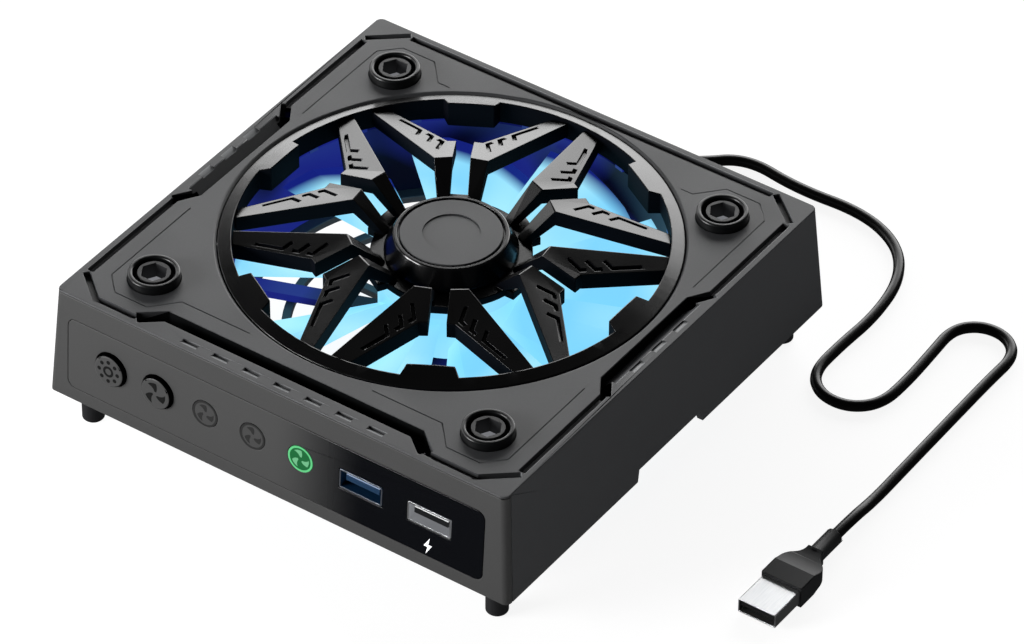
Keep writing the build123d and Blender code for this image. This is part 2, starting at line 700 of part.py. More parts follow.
with BuildPart() as hub_cap:
    cap_z = TOP_Z + CAP_RISE
    with BuildSketch(FAN_SECTION):
        with BuildLine():
            Polyline(
                (0, TOP_Z - HUB_BASE_TOP),
                (CAP_SKIRT_R, TOP_Z - HUB_BASE_TOP),
                (CAP_SKIRT_R, TOP_Z - HUB_BASE_TOP + 1.0),
                (CAP_RIM_R + 0.4, cap_z - 0.5),
                (CAP_RIM_R, cap_z),
                (CAP_TOP_R + CAP_GROOVE, cap_z),
                (CAP_TOP_R + CAP_GROOVE, cap_z - 1.2),
                (CAP_TOP_R, cap_z - 1.2),
                (CAP_TOP_R, cap_z),
                (0, cap_z),
                close=True,
            )
        make_face()
    revolve(axis=FAN_AXIS)
save(hub_cap, "hub_cap")

# Corner bosses: a raised ring round a bush with a hexagon socket
for place, (x, y) in BOSS_PLACES.items():
    with BuildPart() as ring:
        with BuildSketch(Plane((x, y, TOP_Z - BOSS_SEAT))):
            Circle(BOSS_R)
            Circle(BOSS_BORE_R, mode=Mode.SUBTRACT)
        extrude(amount=BOSS_SEAT + BOSS_RISE)
        chamfer(ring.faces().sort_by(Axis.Z)[-1].edges(), 0.4)
    save(ring, f"corner_ring_{place}")

    with BuildPart() as bush:
        with BuildSketch(Plane((x, y, TOP_Z - DECK))):
            Circle(BUSH_R)
        extrude(amount=DECK + BUSH_RISE)
        with BuildSketch(Plane((x, y, TOP_Z - DECK))):
            Circle(BUSH_R + 1.2)
        extrude(amount=-1.2)
        with BuildSketch(Plane((x, y, TOP_Z + BUSH_RISE))):
            RegularPolygon(HEX_ACROSS / 2, 6)
        extrude(amount=-(BUSH_RISE + DECK - 0.5), mode=Mode.SUBTRACT)
    save(bush, f"corner_bush_{place}")

# Fan frame: a round duct, struts to the motor's seat, and four screw lugs
FRAME_LOW = COVER_TOP + FIT
FRAME_HIGH = RING_FOOT_Z - 1.2
LUG_PLACE_R = DUCT_R + DUCT_WALL + LUG_R - 1.0
TUBE_R = BEARING_R + TUBE_WALL
BEARING_LOW = FRAME_LOW + MOTOR_BASE_THICK
lug_places = [polar(LUG_PLACE_R, 45 + 90 * step) for step in range(4)]
with BuildPart() as fan_frame:
    with BuildSketch(FAN_PLANE.offset(FRAME_LOW)):
        Circle(DUCT_R + DUCT_WALL)
        Circle(DUCT_R, mode=Mode.SUBTRACT)
    extrude(amount=FRAME_HIGH - FRAME_LOW)
    with BuildSketch(FAN_PLANE.offset(FRAME_LOW)):
        Circle(MOTOR_BASE_R)
        with PolarLocations((DUCT_R + MOTOR_BASE_R) / 2, STRUTS, start_angle=20):
            Rectangle(DUCT_R - MOTOR_BASE_R + 2.0, STRUT_WIDTH)
    extrude(amount=MOTOR_BASE_THICK)
    with BuildSketch(FAN_PLANE.offset(FRAME_LOW)):
        with Locations(*lug_places):
            Circle(LUG_R)
    extrude(amount=LUG_THICK)
    with BuildSketch(FAN_PLANE.offset(FRAME_LOW)):
        with Locations(*lug_places):
            Circle(SCREW_R)
    extrude(amount=LUG_THICK, mode=Mode.SUBTRACT)
    with BuildSketch(FAN_PLANE.offset(FRAME_LOW + MOTOR_BASE_THICK)):
        Circle(TUBE_R)
    extrude(amount=ROTOR_TOP_Z - ROTOR_SKIN - 1.0 - FRAME_LOW - MOTOR_BASE_THICK)
    with BuildSketch(FAN_PLANE.offset(FRAME_LOW + 0.8)):
        Circle(BEARING_R)
    extrude(amount=TOP_Z, mode=Mode.SUBTRACT)
save(fan_frame, "fan_frame")

# Rotor: a cup with twisted blades, carried on a steel shaft in two ball bearings
BLADE_TIP_R = DUCT_R - BLADE_GAP
with BuildPart() as blade:
    for radius, chord, pitch in (
        (ROTOR_HUB_R - ROTOR_SKIN / 2, ROOT_CHORD, ROOT_PITCH),
        (BLADE_TIP_R, TIP_CHORD, TIP_PITCH),
    ):
        slope = math.radians(pitch)
        section = Plane(
            origin=(radius, 0, ROTOR_TOP_Z - ROTOR_HEIGHT / 2),
            x_dir=(0, math.cos(slope), math.sin(slope)),
            z_dir=(1, 0, 0),
        )
        crown = BLADE_CAMBER * chord
        with BuildSketch(section):
            Polygon(
                (-chord / 2, 0),
                (-chord / 5, crown - BLADE_THICK / 2),
                (chord / 5, crown - BLADE_THICK / 2),
                (chord / 2, 0),
                (chord / 5, crown + BLADE_THICK / 2),
                (-chord / 5, crown + BLADE_THICK / 2),
                align=None,
            )
    loft(ruled=True)
    with BuildSketch(Plane.XY.offset(ROTOR_TOP_Z - ROTOR_HEIGHT)):
        Circle(BLADE_TIP_R)
    extrude(amount=ROTOR_HEIGHT, mode=Mode.INTERSECT)

with BuildPart() as fan_rotor:
    with BuildSketch(FAN_SECTION):
        with BuildLine():
            Polyline(
                (SHAFT_R, ROTOR_TOP_Z),
                (ROTOR_HUB_R - 1.5, ROTOR_TOP_Z),
                (ROTOR_HUB_R, ROTOR_TOP_Z - 1.5),
                (ROTOR_HUB_R, ROTOR_TOP_Z - ROTOR_HEIGHT),
                (ROTOR_HUB_R - ROTOR_SKIN, ROTOR_TOP_Z - ROTOR_HEIGHT),
                (ROTOR_HUB_R - ROTOR_SKIN, ROTOR_TOP_Z - ROTOR_SKIN),
                (SHAFT_R, ROTOR_TOP_Z - ROTOR_SKIN),
                close=True,
            )
        make_face()
    revolve(axis=FAN_AXIS)
    with Locations((0, FAN_Y)):
        with PolarLocations(0, BLADES):
            add(blade.part)
save(fan_rotor, "fan_rotor")

SHAFT_LOW = BEARING_LOW - 0.5
with BuildPart() as rotor_shaft:
    with BuildSketch(FAN_PLANE.offset(SHAFT_LOW)):
        Circle(SHAFT_R)
    extrude(amount=ROTOR_TOP_Z - SHAFT_LOW)
save(rotor_shaft, "rotor_shaft")

MAGNET_R = ROTOR_HUB_R - ROTOR_SKIN
with BuildPart() as magnet_ring:
    with BuildSketch(FAN_PLANE.offset(ROTOR_TOP_Z - ROTOR_HEIGHT + 1.0)):
        Circle(MAGNET_R)
        Circle(MAGNET_R - MAGNET_THICK, mode=Mode.SUBTRACT)
    extrude(amount=STATOR_HEIGHT + 2.0)
save(magnet_ring, "magnet_ring")

STATOR_R = MAGNET_R - MAGNET_THICK - AIR_GAP
STATOR_LOW = ROTOR_TOP_Z - ROTOR_HEIGHT + 2.0
with BuildPart() as stator_core:
    with BuildSketch(FAN_PLANE.offset(STATOR_LOW)):
        Circle(STATOR_R)
        Circle(STATOR_R - 1.6, mode=Mode.SUBTRACT)
        with PolarLocations(STATOR_R, STATOR_TEETH, start_angle=180 / STATOR_TEETH):
            Rectangle(3.6, 2.0, mode=Mode.SUBTRACT)
        Circle(TUBE_R + 2.0)
        with PolarLocations((STATOR_R + TUBE_R) / 2, STATOR_TEETH):
            Rectangle(STATOR_R - TUBE_R - 1.0, 2.4)
        Circle(TUBE_R + FIT, mode=Mode.SUBTRACT)
    extrude(amount=STATOR_HEIGHT)
save(stator_core, "stator_core")

with BuildPart() as stator_windings:
    with BuildSketch(FAN_PLANE.offset(STATOR_LOW - 0.8)):
        with PolarLocations((STATOR_R + TUBE_R) / 2 + 0.2, STATOR_TEETH):
            Rectangle(STATOR_R - TUBE_R - 5.4, 5.0)
    extrude(amount=STATOR_HEIGHT + 1.6)
    with BuildSketch(FAN_PLANE.offset(STATOR_LOW)):
        with PolarLocations((STATOR_R + TUBE_R) / 2, STATOR_TEETH):
            Rectangle(STATOR_R - TUBE_R, 2.4 + 2 * SHAFT_FIT)
    extrude(amount=STATOR_HEIGHT, mode=Mode.SUBTRACT)
save(stator_windings, "stator_windings")

BEARING_HIGH = ROTOR_TOP_Z - ROTOR_SKIN - 1.0 - BEARING_HEIGHT
for name, low in (("lower", BEARING_LOW), ("upper", BEARING_HIGH)):
    with BuildPart() as bearing:
        with BuildSketch(FAN_PLANE.offset(low)):
            Circle(BEARING_R - 0.02)
            Circle(SHAFT_R + SHAFT_FIT, mode=Mode.SUBTRACT)
        extrude(amount=BEARING_HEIGHT)
    save(bearing, f"{name}_bearing")

with BuildPart() as motor_board:
    with BuildSketch(FAN_PLANE.offset(FRAME_LOW + MOTOR_BASE_THICK + 0.1)):
        Circle(STATOR_R)
        Circle(TUBE_R + FIT, mode=Mode.SUBTRACT)
    extrude(amount=1.0)
save(motor_board, "motor_board")

# Light ring: a flat board under the bezel, with lamps along its bore
LAMPS = 24
LAMP_DEEP = 1.1
LAMP_INNER_R = RING_BORE_R + FIT
with BuildPart() as lamp_board:
    with BuildSketch(FAN_PLANE.offset(FRAME_HIGH + 0.1)):
        Circle(DUCT_R + DUCT_WALL)
        Circle(LAMP_INNER_R + LAMP_DEEP + FIT, mode=Mode.SUBTRACT)
    extrude(amount=1.0)
save(lamp_board, "lamp_board")

with BuildPart() as lamps:
    with BuildSketch(FAN_PLANE.offset(FRAME_HIGH + 0.1)):
        with PolarLocations(LAMP_INNER_R + LAMP_DEEP / 2, LAMPS):
            Rectangle(LAMP_DEEP, 3.0)
    extrude(amount=1.0)
save(lamps, "lamps")

# Bottom cover with its ringed intake grille
COVER_SIDE = 2 * (half_side(COVER_TOP) - max(WALL, FASCIA) - FIT)
ring_step = (INTAKE_R - INTAKE_HUB_R) / INTAKE_RINGS
with BuildPart() as base_cover:
    with BuildSketch(Plane.XY.offset(COVER_Z)):
        RectangleRounded(COVER_SIDE, COVER_SIDE, CORNER_R / 2)
        with Locations((0, FAN_Y)):
            Circle(INTAKE_R, mode=Mode.SUBTRACT)
            for ring in range(INTAKE_RINGS):
                radius = INTAKE_HUB_R + ring * ring_step
                Circle(radius)
                if ring:
                    Circle(radius - INTAKE_RIB, mode=Mode.SUBTRACT)
            with PolarLocations(INTAKE_R / 2 + 1.0, INTAKE_SPOKES):
                Rectangle(INTAKE_R, INTAKE_RIB)
            Circle(INTAKE_HUB_R)
        with Locations(*POST_PLACES, *FOOT_PLACES.values()):
            Circle(SPIGOT_R + FIT, mode=Mode.SUBTRACT)
        with Locations(*[(x, y + FAN_Y) for x, y in lug_places]):
            Circle(SPIGOT_R + FIT, mode=Mode.SUBTRACT)
    extrude(amount=COVER_THICK)
save(base_cover, "base_cover")

with BuildPart() as cover_screws:
    for x, y in POST_PLACES:
        with BuildSketch(Plane((x, y, COVER_Z - SCREW_HEAD))):
            Circle(SCREW_HEAD_R)
        extrude(amount=SCREW_HEAD)
        with BuildSketch(Plane((x, y, COVER_Z))):
            Circle(SCREW_R)
        extrude(amount=COVER_THICK + SCREW_BITE)
save(cover_screws, "cover_screws")

with BuildPart() as fan_screws:
    for x, y in lug_places:
        with BuildSketch(Plane((x, y + FAN_Y, COVER_Z - SCREW_HEAD))):
            Circle(SCREW_HEAD_R)
        extrude(amount=SCREW_HEAD)
        with BuildSketch(Plane((x, y + FAN_Y, COVER_Z))):
            Circle(SCREW_R)
        extrude(amount=COVER_THICK + FIT + LUG_THICK - 0.2)
save(fan_screws, "fan_screws")

for place, (x, y) in FOOT_PLACES.items():
    with BuildPart() as foot:
        with BuildSketch(Plane((x, y, 0))):
            Circle(FOOT_R)
        extrude(amount=COVER_Z)
        chamfer(foot.faces().sort_by(Axis.Z)[0].edges(), 0.6)
        with BuildSketch(Plane((x, y, COVER_Z))):
            Circle(SPIGOT_R)
        extrude(amount=COVER_THICK)
    save(foot, f"foot_{place}")

# Lead: a moulded gland in the back wall, the round lead and the plug at its end
GLAND_WALL_Y = half_side(GLAND_Z)
GLAND_SECTION = Plane(origin=(GLAND_X, GLAND_WALL_Y, GLAND_Z), x_dir=(1, 0, 0), z_dir=(0, 0, 1))
GLAND_END_Y = GLAND_WALL_Y + GLAND_TAIL
with BuildPart() as cord_gland:
    with BuildSketch(GLAND_SECTION):
        with BuildLine():
            Polyline(
                (0, -WALL - 2.0),
                (GLAND_R, -WALL - 2.0),
                (GLAND_R, -WALL - 0.5),
                (GLAND_R - 1.0, -WALL - 0.5),
                (GLAND_R - 1.0, 0.5),
                (GLAND_R, 0.5),
                (GLAND_R, 2.0),
                (CORD_D / 2 + 0.5, GLAND_TAIL),
                (0, GLAND_TAIL),
                close=True,
            )
        make_face()
    revolve(axis=Axis((GLAND_X, GLAND_WALL_Y, GLAND_Z), (0, 1, 0)))
save(cord_gland, "cord_gland")

FLOOR = CORD_D / 2
PLUG_MID = PLUG_HEIGHT / 2
cord_points = [
    (GLAND_X, GLAND_END_Y, GLAND_Z),
    (GLAND_X, GLAND_END_Y + 9.5, GLAND_Z),
    (-18.0, 106.0, 12.5),
    (-13.0, 111.5, 5.5),
    (-5.0, 115.0, FLOOR),
    (5.5, 119.5, FLOOR),
    (16.5, 130.0, FLOOR),
    (36.0, 126.6, FLOOR),
    (58.0, 128.2, FLOOR),
    (74.0, 121.5, FLOOR),
    (82.8, 108.5, FLOOR),
    (85.6, 91.0, FLOOR),
    (84.6, 74.0, FLOOR),
    (84.9, 60.3, FLOOR),
    (91.5, 53.5, FLOOR),
    (101.0, 53.5, FLOOR),
    (107.7, 60.3, FLOOR),
    (108.2, 72.5, FLOOR),
    (107.4, 86.5, FLOOR),
    (106.5, 98.8, FLOOR),
    (112.5, 105.0, FLOOR),
    (121.0, 105.0, FLOOR),
    (127.0, 98.8, FLOOR),
    (126.0, 86.5, FLOOR),
    (126.2, 67.0, FLOOR),
    (129.2, 43.0, FLOOR),
    (127.6, 25.0, FLOOR),
    (PLUG_X, PLUG_BACK_Y + 9.0, PLUG_MID),
    (PLUG_X, PLUG_BACK_Y, PLUG_MID),
]
corner_radii = []
for before, corner, after in zip(cord_points, cord_points[1:], cord_points[2:]):
    turn = (Vector(corner) - Vector(before)).get_angle(Vector(after) - Vector(corner))
    shorter = min(math.dist(before, corner), math.dist(corner, after))
    corner_radii.append(0.45 * shorter / math.tan(math.radians(turn / 2)))
with BuildPart() as power_cord:
    with BuildLine() as cord_path:
        FilletPolyline(*cord_points, radius=corner_radii)
    with BuildSketch(Plane(origin=cord_points[0], z_dir=Vector(cord_points[1]) - Vector(cord_points[0]))):
        RegularPolygon(CORD_D / 2, CORD_SIDES)
    sweep(path=cord_path.wires()[0])
save(power_cord, "power_cord")
cord_length = cord_path.wires()[0].length
cord_section = CORD_SIDES / 2 * (CORD_D / 2) ** 2 * math.sin(math.tau / CORD_SIDES)
print("lead length", round(cord_length, 1), "radii", [round(radius, 1) for radius in corner_radii])
print("lead volume", round(power_cord.part.volume), "section by length", round(cord_length * cord_section))

# Plug: a moulding that flares from its round neck to a flat front, with a finger scoop behind the
# flat panel on its top, and the same below
with BuildPart() as plug_side:
    with BuildSketch(Plane(origin=(PLUG_X, 0, 0), x_dir=(0, 1, 0), z_dir=(1, 0, 0))):
        with BuildLine():
            for rise in (1, -1):
                panel = (PLUG_FRONT_Y + PLUG_PANEL, PLUG_MID + rise * PLUG_HEIGHT / 2)
                neck = (PLUG_NECK_Y, PLUG_MID + rise * PLUG_NECK / 2)
                middle = ((panel[0] + neck[0]) / 2, (panel[1] + neck[1]) / 2 - rise * PLUG_SCOOP)
                Line((PLUG_FRONT_Y, panel[1]), panel)
                ThreePointArc(panel, middle, neck)
                Line(neck, (PLUG_NECK_Y, PLUG_MID))
            Line((PLUG_FRONT_Y, PLUG_HEIGHT), (PLUG_FRONT_Y, 0))
        make_face()
    extrude(amount=PLUG_WIDTH, both=True)

with BuildPart() as plug_overmould:
    with BuildSketch(Plane.XY):
        with BuildLine():
            for side in (1, -1):
                front = (PLUG_X + side * PLUG_WIDTH / 2, PLUG_FRONT_Y)
                shoulder = (front[0], PLUG_FRONT_Y + PLUG_STRAIGHT)
                neck = (PLUG_X + side * PLUG_NECK / 2, PLUG_NECK_Y)
                middle = ((shoulder[0] + neck[0]) / 2, (shoulder[1] + neck[1]) / 2)
                Line((PLUG_X, PLUG_FRONT_Y), front)
                Line(front, shoulder)
                TangentArc(shoulder, middle, tangent=(0, 1))
                TangentArc(neck, middle, tangent=(0, -1))
                Line(neck, (PLUG_X, PLUG_NECK_Y))
        make_face()
    extrude(amount=PLUG_HEIGHT)
    add(plug_side.part, mode=Mode.INTERSECT)
    with BuildSketch(Plane(origin=(PLUG_X, PLUG_BACK_Y, PLUG_MID), z_dir=(0, -1, 0))):
        Circle(PLUG_NECK / 2)
    extrude(amount=PLUG_BACK_Y - PLUG_NECK_Y + 1)
save(plug_overmould, "plug_overmould")

plug_front = Plane(origin=(PLUG_X, PLUG_FRONT_Y, PLUG_MID), x_dir=(-1, 0, 0), z_dir=(0, -1, 0))
with BuildPart() as plug_shell:
    with BuildSketch(plug_front):
        RectangleRounded(PLUG_SHELL_WIDTH, PLUG_SHELL_HEIGHT, 0.5)
        Rectangle(
            PLUG_SHELL_WIDTH - 2 * PLUG_SHELL_WALL,
            PLUG_SHELL_HEIGHT - 2 * PLUG_SHELL_WALL,
            mode=Mode.SUBTRACT,
        )
    extrude(amount=PLUG_SHELL_LENGTH)
save(plug_shell, "plug_shell")

with BuildPart() as plug_insert:
    with BuildSketch(plug_front):
        with Locations((0, -PLUG_SHELL_HEIGHT / 2 + PLUG_SHELL_WALL + 0.9)):
            Rectangle(PLUG_SHELL_WIDTH - 2 * PLUG_SHELL_WALL - 0.2, 1.8)
    extrude(amount=PLUG_SHELL_LENGTH - 0.4)
save(plug_insert, "plug_insert")
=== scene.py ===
"""The looks of a console cooling fan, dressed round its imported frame.

Metres, Z up from the surface that the feet stand on, the front faces -Y.
"""

import json
import logging
import math
from collections.abc import Callable
from dataclasses import dataclass, field
from enum import Enum

import bmesh
import bpy
from mathutils import Matrix, Quaternion, Vector

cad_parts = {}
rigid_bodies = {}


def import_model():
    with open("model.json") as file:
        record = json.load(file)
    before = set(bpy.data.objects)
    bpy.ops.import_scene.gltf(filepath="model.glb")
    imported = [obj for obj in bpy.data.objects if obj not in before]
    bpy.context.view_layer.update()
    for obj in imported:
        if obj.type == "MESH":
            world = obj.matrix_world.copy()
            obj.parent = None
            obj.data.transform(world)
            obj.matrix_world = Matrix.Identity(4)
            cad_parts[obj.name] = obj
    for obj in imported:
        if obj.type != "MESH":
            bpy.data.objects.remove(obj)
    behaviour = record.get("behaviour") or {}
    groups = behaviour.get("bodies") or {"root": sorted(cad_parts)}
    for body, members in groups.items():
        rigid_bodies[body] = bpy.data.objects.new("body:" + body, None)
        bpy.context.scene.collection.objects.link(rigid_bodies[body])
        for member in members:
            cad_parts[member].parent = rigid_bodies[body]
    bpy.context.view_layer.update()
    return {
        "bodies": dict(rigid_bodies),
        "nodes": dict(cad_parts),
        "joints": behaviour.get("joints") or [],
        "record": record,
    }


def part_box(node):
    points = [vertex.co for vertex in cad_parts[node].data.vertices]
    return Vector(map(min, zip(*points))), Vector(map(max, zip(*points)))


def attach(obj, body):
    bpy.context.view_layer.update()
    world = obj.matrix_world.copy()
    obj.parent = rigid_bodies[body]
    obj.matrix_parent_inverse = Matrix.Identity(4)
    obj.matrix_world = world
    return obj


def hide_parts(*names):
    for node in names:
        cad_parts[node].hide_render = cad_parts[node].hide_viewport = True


MM = 0.001
FAN_AXIS = (0.0, 5.4 * MM, 0.0)  # the fan's axis is a little behind the body's middle
LOG = logging.getLogger("console_fan")
SHARP_TURN = 32.0  # degrees: an edge that turns more is sharp
FLAT_TURN = 0.7  # degrees: faces that turn less are one flat
SMOOTH_TURN = 30.0  # degrees: an edge that turns less shades smoothly
ROOM_FOR_ROUNDING = 2.2  # a surface this many times wider than a rounding has room for it
ROUNDING_FACES = 2  # how many faces make up a rounding
WELD = 1e-6  # points nearer to each other than this are one
PATTERN_LOW = 0.3  # most of a noise pattern lies between these two values
PATTERN_HIGH = 0.7
BROAD = 60  # how many grains wide the slow change of a moulded surface's gloss is
WHITE = "FFFFFF"
BLACK = "000000"


def linear(colour: str) -> tuple[float, float, float, float]:
    """Turns an sRGB hex value into a linear colour.

    Args:
        colour: Six hex digits.

    Returns:
        Red, green, blue and an alpha of one.
    """
    channels = []
    for start in (0, 2, 4):
        value = int(colour[start : start + 2], 16) / 255
        low = value <= 0.04045
        channels.append(value / 12.92 if low else ((value + 0.055) / 1.055) ** 2.4)
    return (channels[0], channels[1], channels[2], 1.0)


def add_node(
    tree: bpy.types.NodeTree, kind: str, settings: dict[str, str] | None = None, **inputs
) -> bpy.types.Node:
    """Adds one node to a material.

    Args:
        tree: The material's tree.
        kind: Blender's name for the node.
        settings: The node's own properties.
        **inputs: Values or linked sockets, by the socket's name with spaces as underscores,
            or by its number after the word input.

    Returns:
        The new node.
    """
    node = tree.nodes.new(kind)
    for name, value in (settings or {}).items():
        setattr(node, name, value)
    for name, value in inputs.items():
        key = int(name[5:]) if name.startswith("input") else name.replace("_", " ")
        if isinstance(value, bpy.types.NodeSocket):
            tree.links.new(value, node.inputs[key])
        else:
            node.inputs[key].default_value = value
    return node


class Glow(Enum):
    """How strongly a lit part shines, from a faint painted glow to a bare lamp."""

    LOW = 0.35
    DIM = 0.5
    HIGH = 0.6
    LAMP = 6.0


class Edge(Enum):
    """How wide a rounded edge is, in millimetres."""

    FOLDED_SHEET = 0.05
    FINE_TRIM = 0.08
    CRISP_RIM = 0.15
    SMALL_MOULDING = 0.2
    HOUSING = 0.22
    GRILLE_ARM = 0.25
    SOFT_MOULDING = 0.3


def new_material(name: str) -> tuple[bpy.types.Material, bpy.types.NodeTree, bpy.types.Node]:
    """Starts a material with an empty principled shader.

    Args:
        name: The finish's name.

    Returns:
        The material, its tree and its shader node.
    """
    material = bpy.data.materials.new(name)
    material.use_nodes = True
    tree = material.node_tree
    tree.nodes.clear()
    shader = add_node(tree, "ShaderNodeBsdfPrincipled")
    add_node(tree, "ShaderNodeOutputMaterial", Surface=shader.outputs["BSDF"])
    return material, tree, shader


def grain(tree: bpy.types.NodeTree, size_mm: float, detail: float = 2.0) -> bpy.types.NodeSocket:
    """Adds a noise pattern on object coordinates.

    Args:
        tree: The material's tree.
        size_mm: The width of one grain.
        detail: How many finer layers the noise has.

    Returns:
        The noise's value, from zero to one.
    """
    place = add_node(tree, "ShaderNodeTexCoord").outputs["Object"]
    noise = add_node(tree, "ShaderNodeTexNoise", Vector=place, Scale=1000 / size_mm, Detail=detail)
    return noise.outputs["Fac"]


def spread(
    tree: bpy.types.NodeTree, value: bpy.types.NodeSocket, low: float, high: float
) -> bpy.types.NodeSocket:
    """Maps a pattern's middle range to a range of its own.

    Args:
        tree: The material's tree.
        value: The pattern.
        low: What the pattern's low side becomes.
        high: What its high side becomes.

    Returns:
        The mapped value.
    """
    node = add_node(
        tree,
        "ShaderNodeMapRange",
        Value=value,
        From_Min=PATTERN_LOW,
        From_Max=PATTERN_HIGH,
        To_Min=low,
        To_Max=high,
    )
    return node.outputs["Result"]


def two_tones(
    tree: bpy.types.NodeTree, factor: bpy.types.NodeSocket, first: str, second: str
) -> bpy.types.NodeSocket:
    """Mixes two colours by a pattern.

    Args:
        tree: The material's tree.
        factor: The pattern.
        first: The colour at zero.
        second: The colour at one.

    Returns:
        The mixed colour.
    """
    mix = add_node(
        tree,
        "ShaderNodeMix",
        {"data_type": "RGBA"},
        input0=factor,
        input6=linear(first),
        input7=linear(second),
    )
    return mix.outputs[2]


@dataclass(frozen=True)
class MouldedPlastic:
    """A plastic from a moulding tool: its surface copies the tool's fine spark texture.

    Attributes:
        name: The finish's name.
        colour: The pigment.
        shade: A slightly different pigment that the grain mixes in.
        roughness: How far the surface spreads a highlight.
        grain_mm: The width of one grain, drawn coarser than the real ones so that it shows.
        relief_mm: How deep the grain is.
        ior: The refractive index.
        shine: The specular level: a coarse texture traps part of the reflection.
        unevenness: How much the gloss changes across the piece, as a share.
        bump: How strongly the grain turns the light.
    """

    name: str
    colour: str
    shade: str
    roughness: float
    grain_mm: float = 0.35
    relief_mm: float = 0.01
    ior: float = 1.53
    shine: float = 0.5
    unevenness: float = 0.06
    bump: float = 0.6

    def build(self) -> bpy.types.Material:
        """Builds the material.

        Returns:
            The finished material.
        """
        material, tree, shader = new_material(self.name)
        fine = grain(tree, self.grain_mm)
        broad = grain(tree, self.grain_mm * BROAD, 1.0)
        colour = two_tones(tree, spread(tree, fine, 0.0, 1.0), self.colour, self.shade)
        low, high = self.roughness * (1 - self.unevenness), self.roughness * (1 + self.unevenness)
        rough = spread(tree, broad, low, high)
        bump = add_node(
            tree, "ShaderNodeBump", Strength=self.bump, Distance=self.relief_mm * MM, Height=fine
        )
        tree.links.new(colour, shader.inputs["Base Color"])
        tree.links.new(rough, shader.inputs["Roughness"])
        tree.links.new(bump.outputs["Normal"], shader.inputs["Normal"])
        shader.inputs["IOR"].default_value = self.ior
        shader.inputs["Specular IOR Level"].default_value = self.shine
        return material


@dataclass(frozen=True)
class Steel:
    """Rolled or turned steel under bright nickel: a metal whose fine lines stretch highlights.

    Attributes:
        name: The finish's name.
        colour: The metal's colour.
        shade: Its colour in the lines.
        roughness: How far the surface spreads a highlight.
        line_mm: The width of one line, drawn coarser than the real ones so that it shows.
        stretch: The pattern's scale along the lines, against one across them.
        unevenness: How much the gloss changes from line to line, as a share.
    """

    name: str
    colour: str = "C9CBCD"
    shade: str = "B4B6B9"
    roughness: float = 0.28
    line_mm: float = 0.25
    stretch: float = 0.05
    unevenness: float = 0.2

    def build(self) -> bpy.types.Material:
        """Builds the material.

        Returns:
            The finished material.
        """
        material, tree, shader = new_material(self.name)
        place = add_node(tree, "ShaderNodeTexCoord").outputs["Object"]
        drawn = add_node(tree, "ShaderNodeMapping", Vector=place, Scale=(1.0, self.stretch, 1.0))
        lines = add_node(
            tree, "ShaderNodeTexNoise", Vector=drawn.outputs["Vector"], Scale=1000 / self.line_mm
        ).outputs["Fac"]
        colour = two_tones(tree, spread(tree, lines, 0.0, 1.0), self.colour, self.shade)
        low, high = self.roughness * (1 - self.unevenness), self.roughness * (1 + self.unevenness)
        rough = spread(tree, lines, low, high)
        tree.links.new(colour, shader.inputs["Base Color"])
        tree.links.new(rough, shader.inputs["Roughness"])
        shader.inputs["Metallic"].default_value = 1.0
        return material


@dataclass(frozen=True)
class LitPlastic:
    """A translucent plastic with lamps behind it: it shines in its own colour, a little cloudy.

    Attributes:
        name: The finish's name.
        colour: The surface's colour.
        light: The colour of its light.
        far_light: The colour of its light where it is cloudy.
        strength: How strongly it shines.
        roughness: How far the surface spreads a highlight.
        cloud_mm: The width of one cloud.
    """

    name: str
    colour: str
    light: str
    far_light: str
    strength: float
    roughness: float = 0.35
    cloud_mm: float = 18.0

    def build(self) -> bpy.types.Material:
        """Builds the material.

        Returns:
            The finished material.
        """
        material, tree, shader = new_material(self.name)
        clouds = grain(tree, self.cloud_mm, 0.0)
        glow = two_tones(tree, spread(tree, clouds, 0.0, 1.0), self.light, self.far_light)
        shader.inputs["Base Color"].default_value = linear(self.colour)
        shader.inputs["Roughness"].default_value = self.roughness
        tree.links.new(glow, shader.inputs["Emission Color"])
        shader.inputs["Emission Strength"].default_value = self.strength
        return material


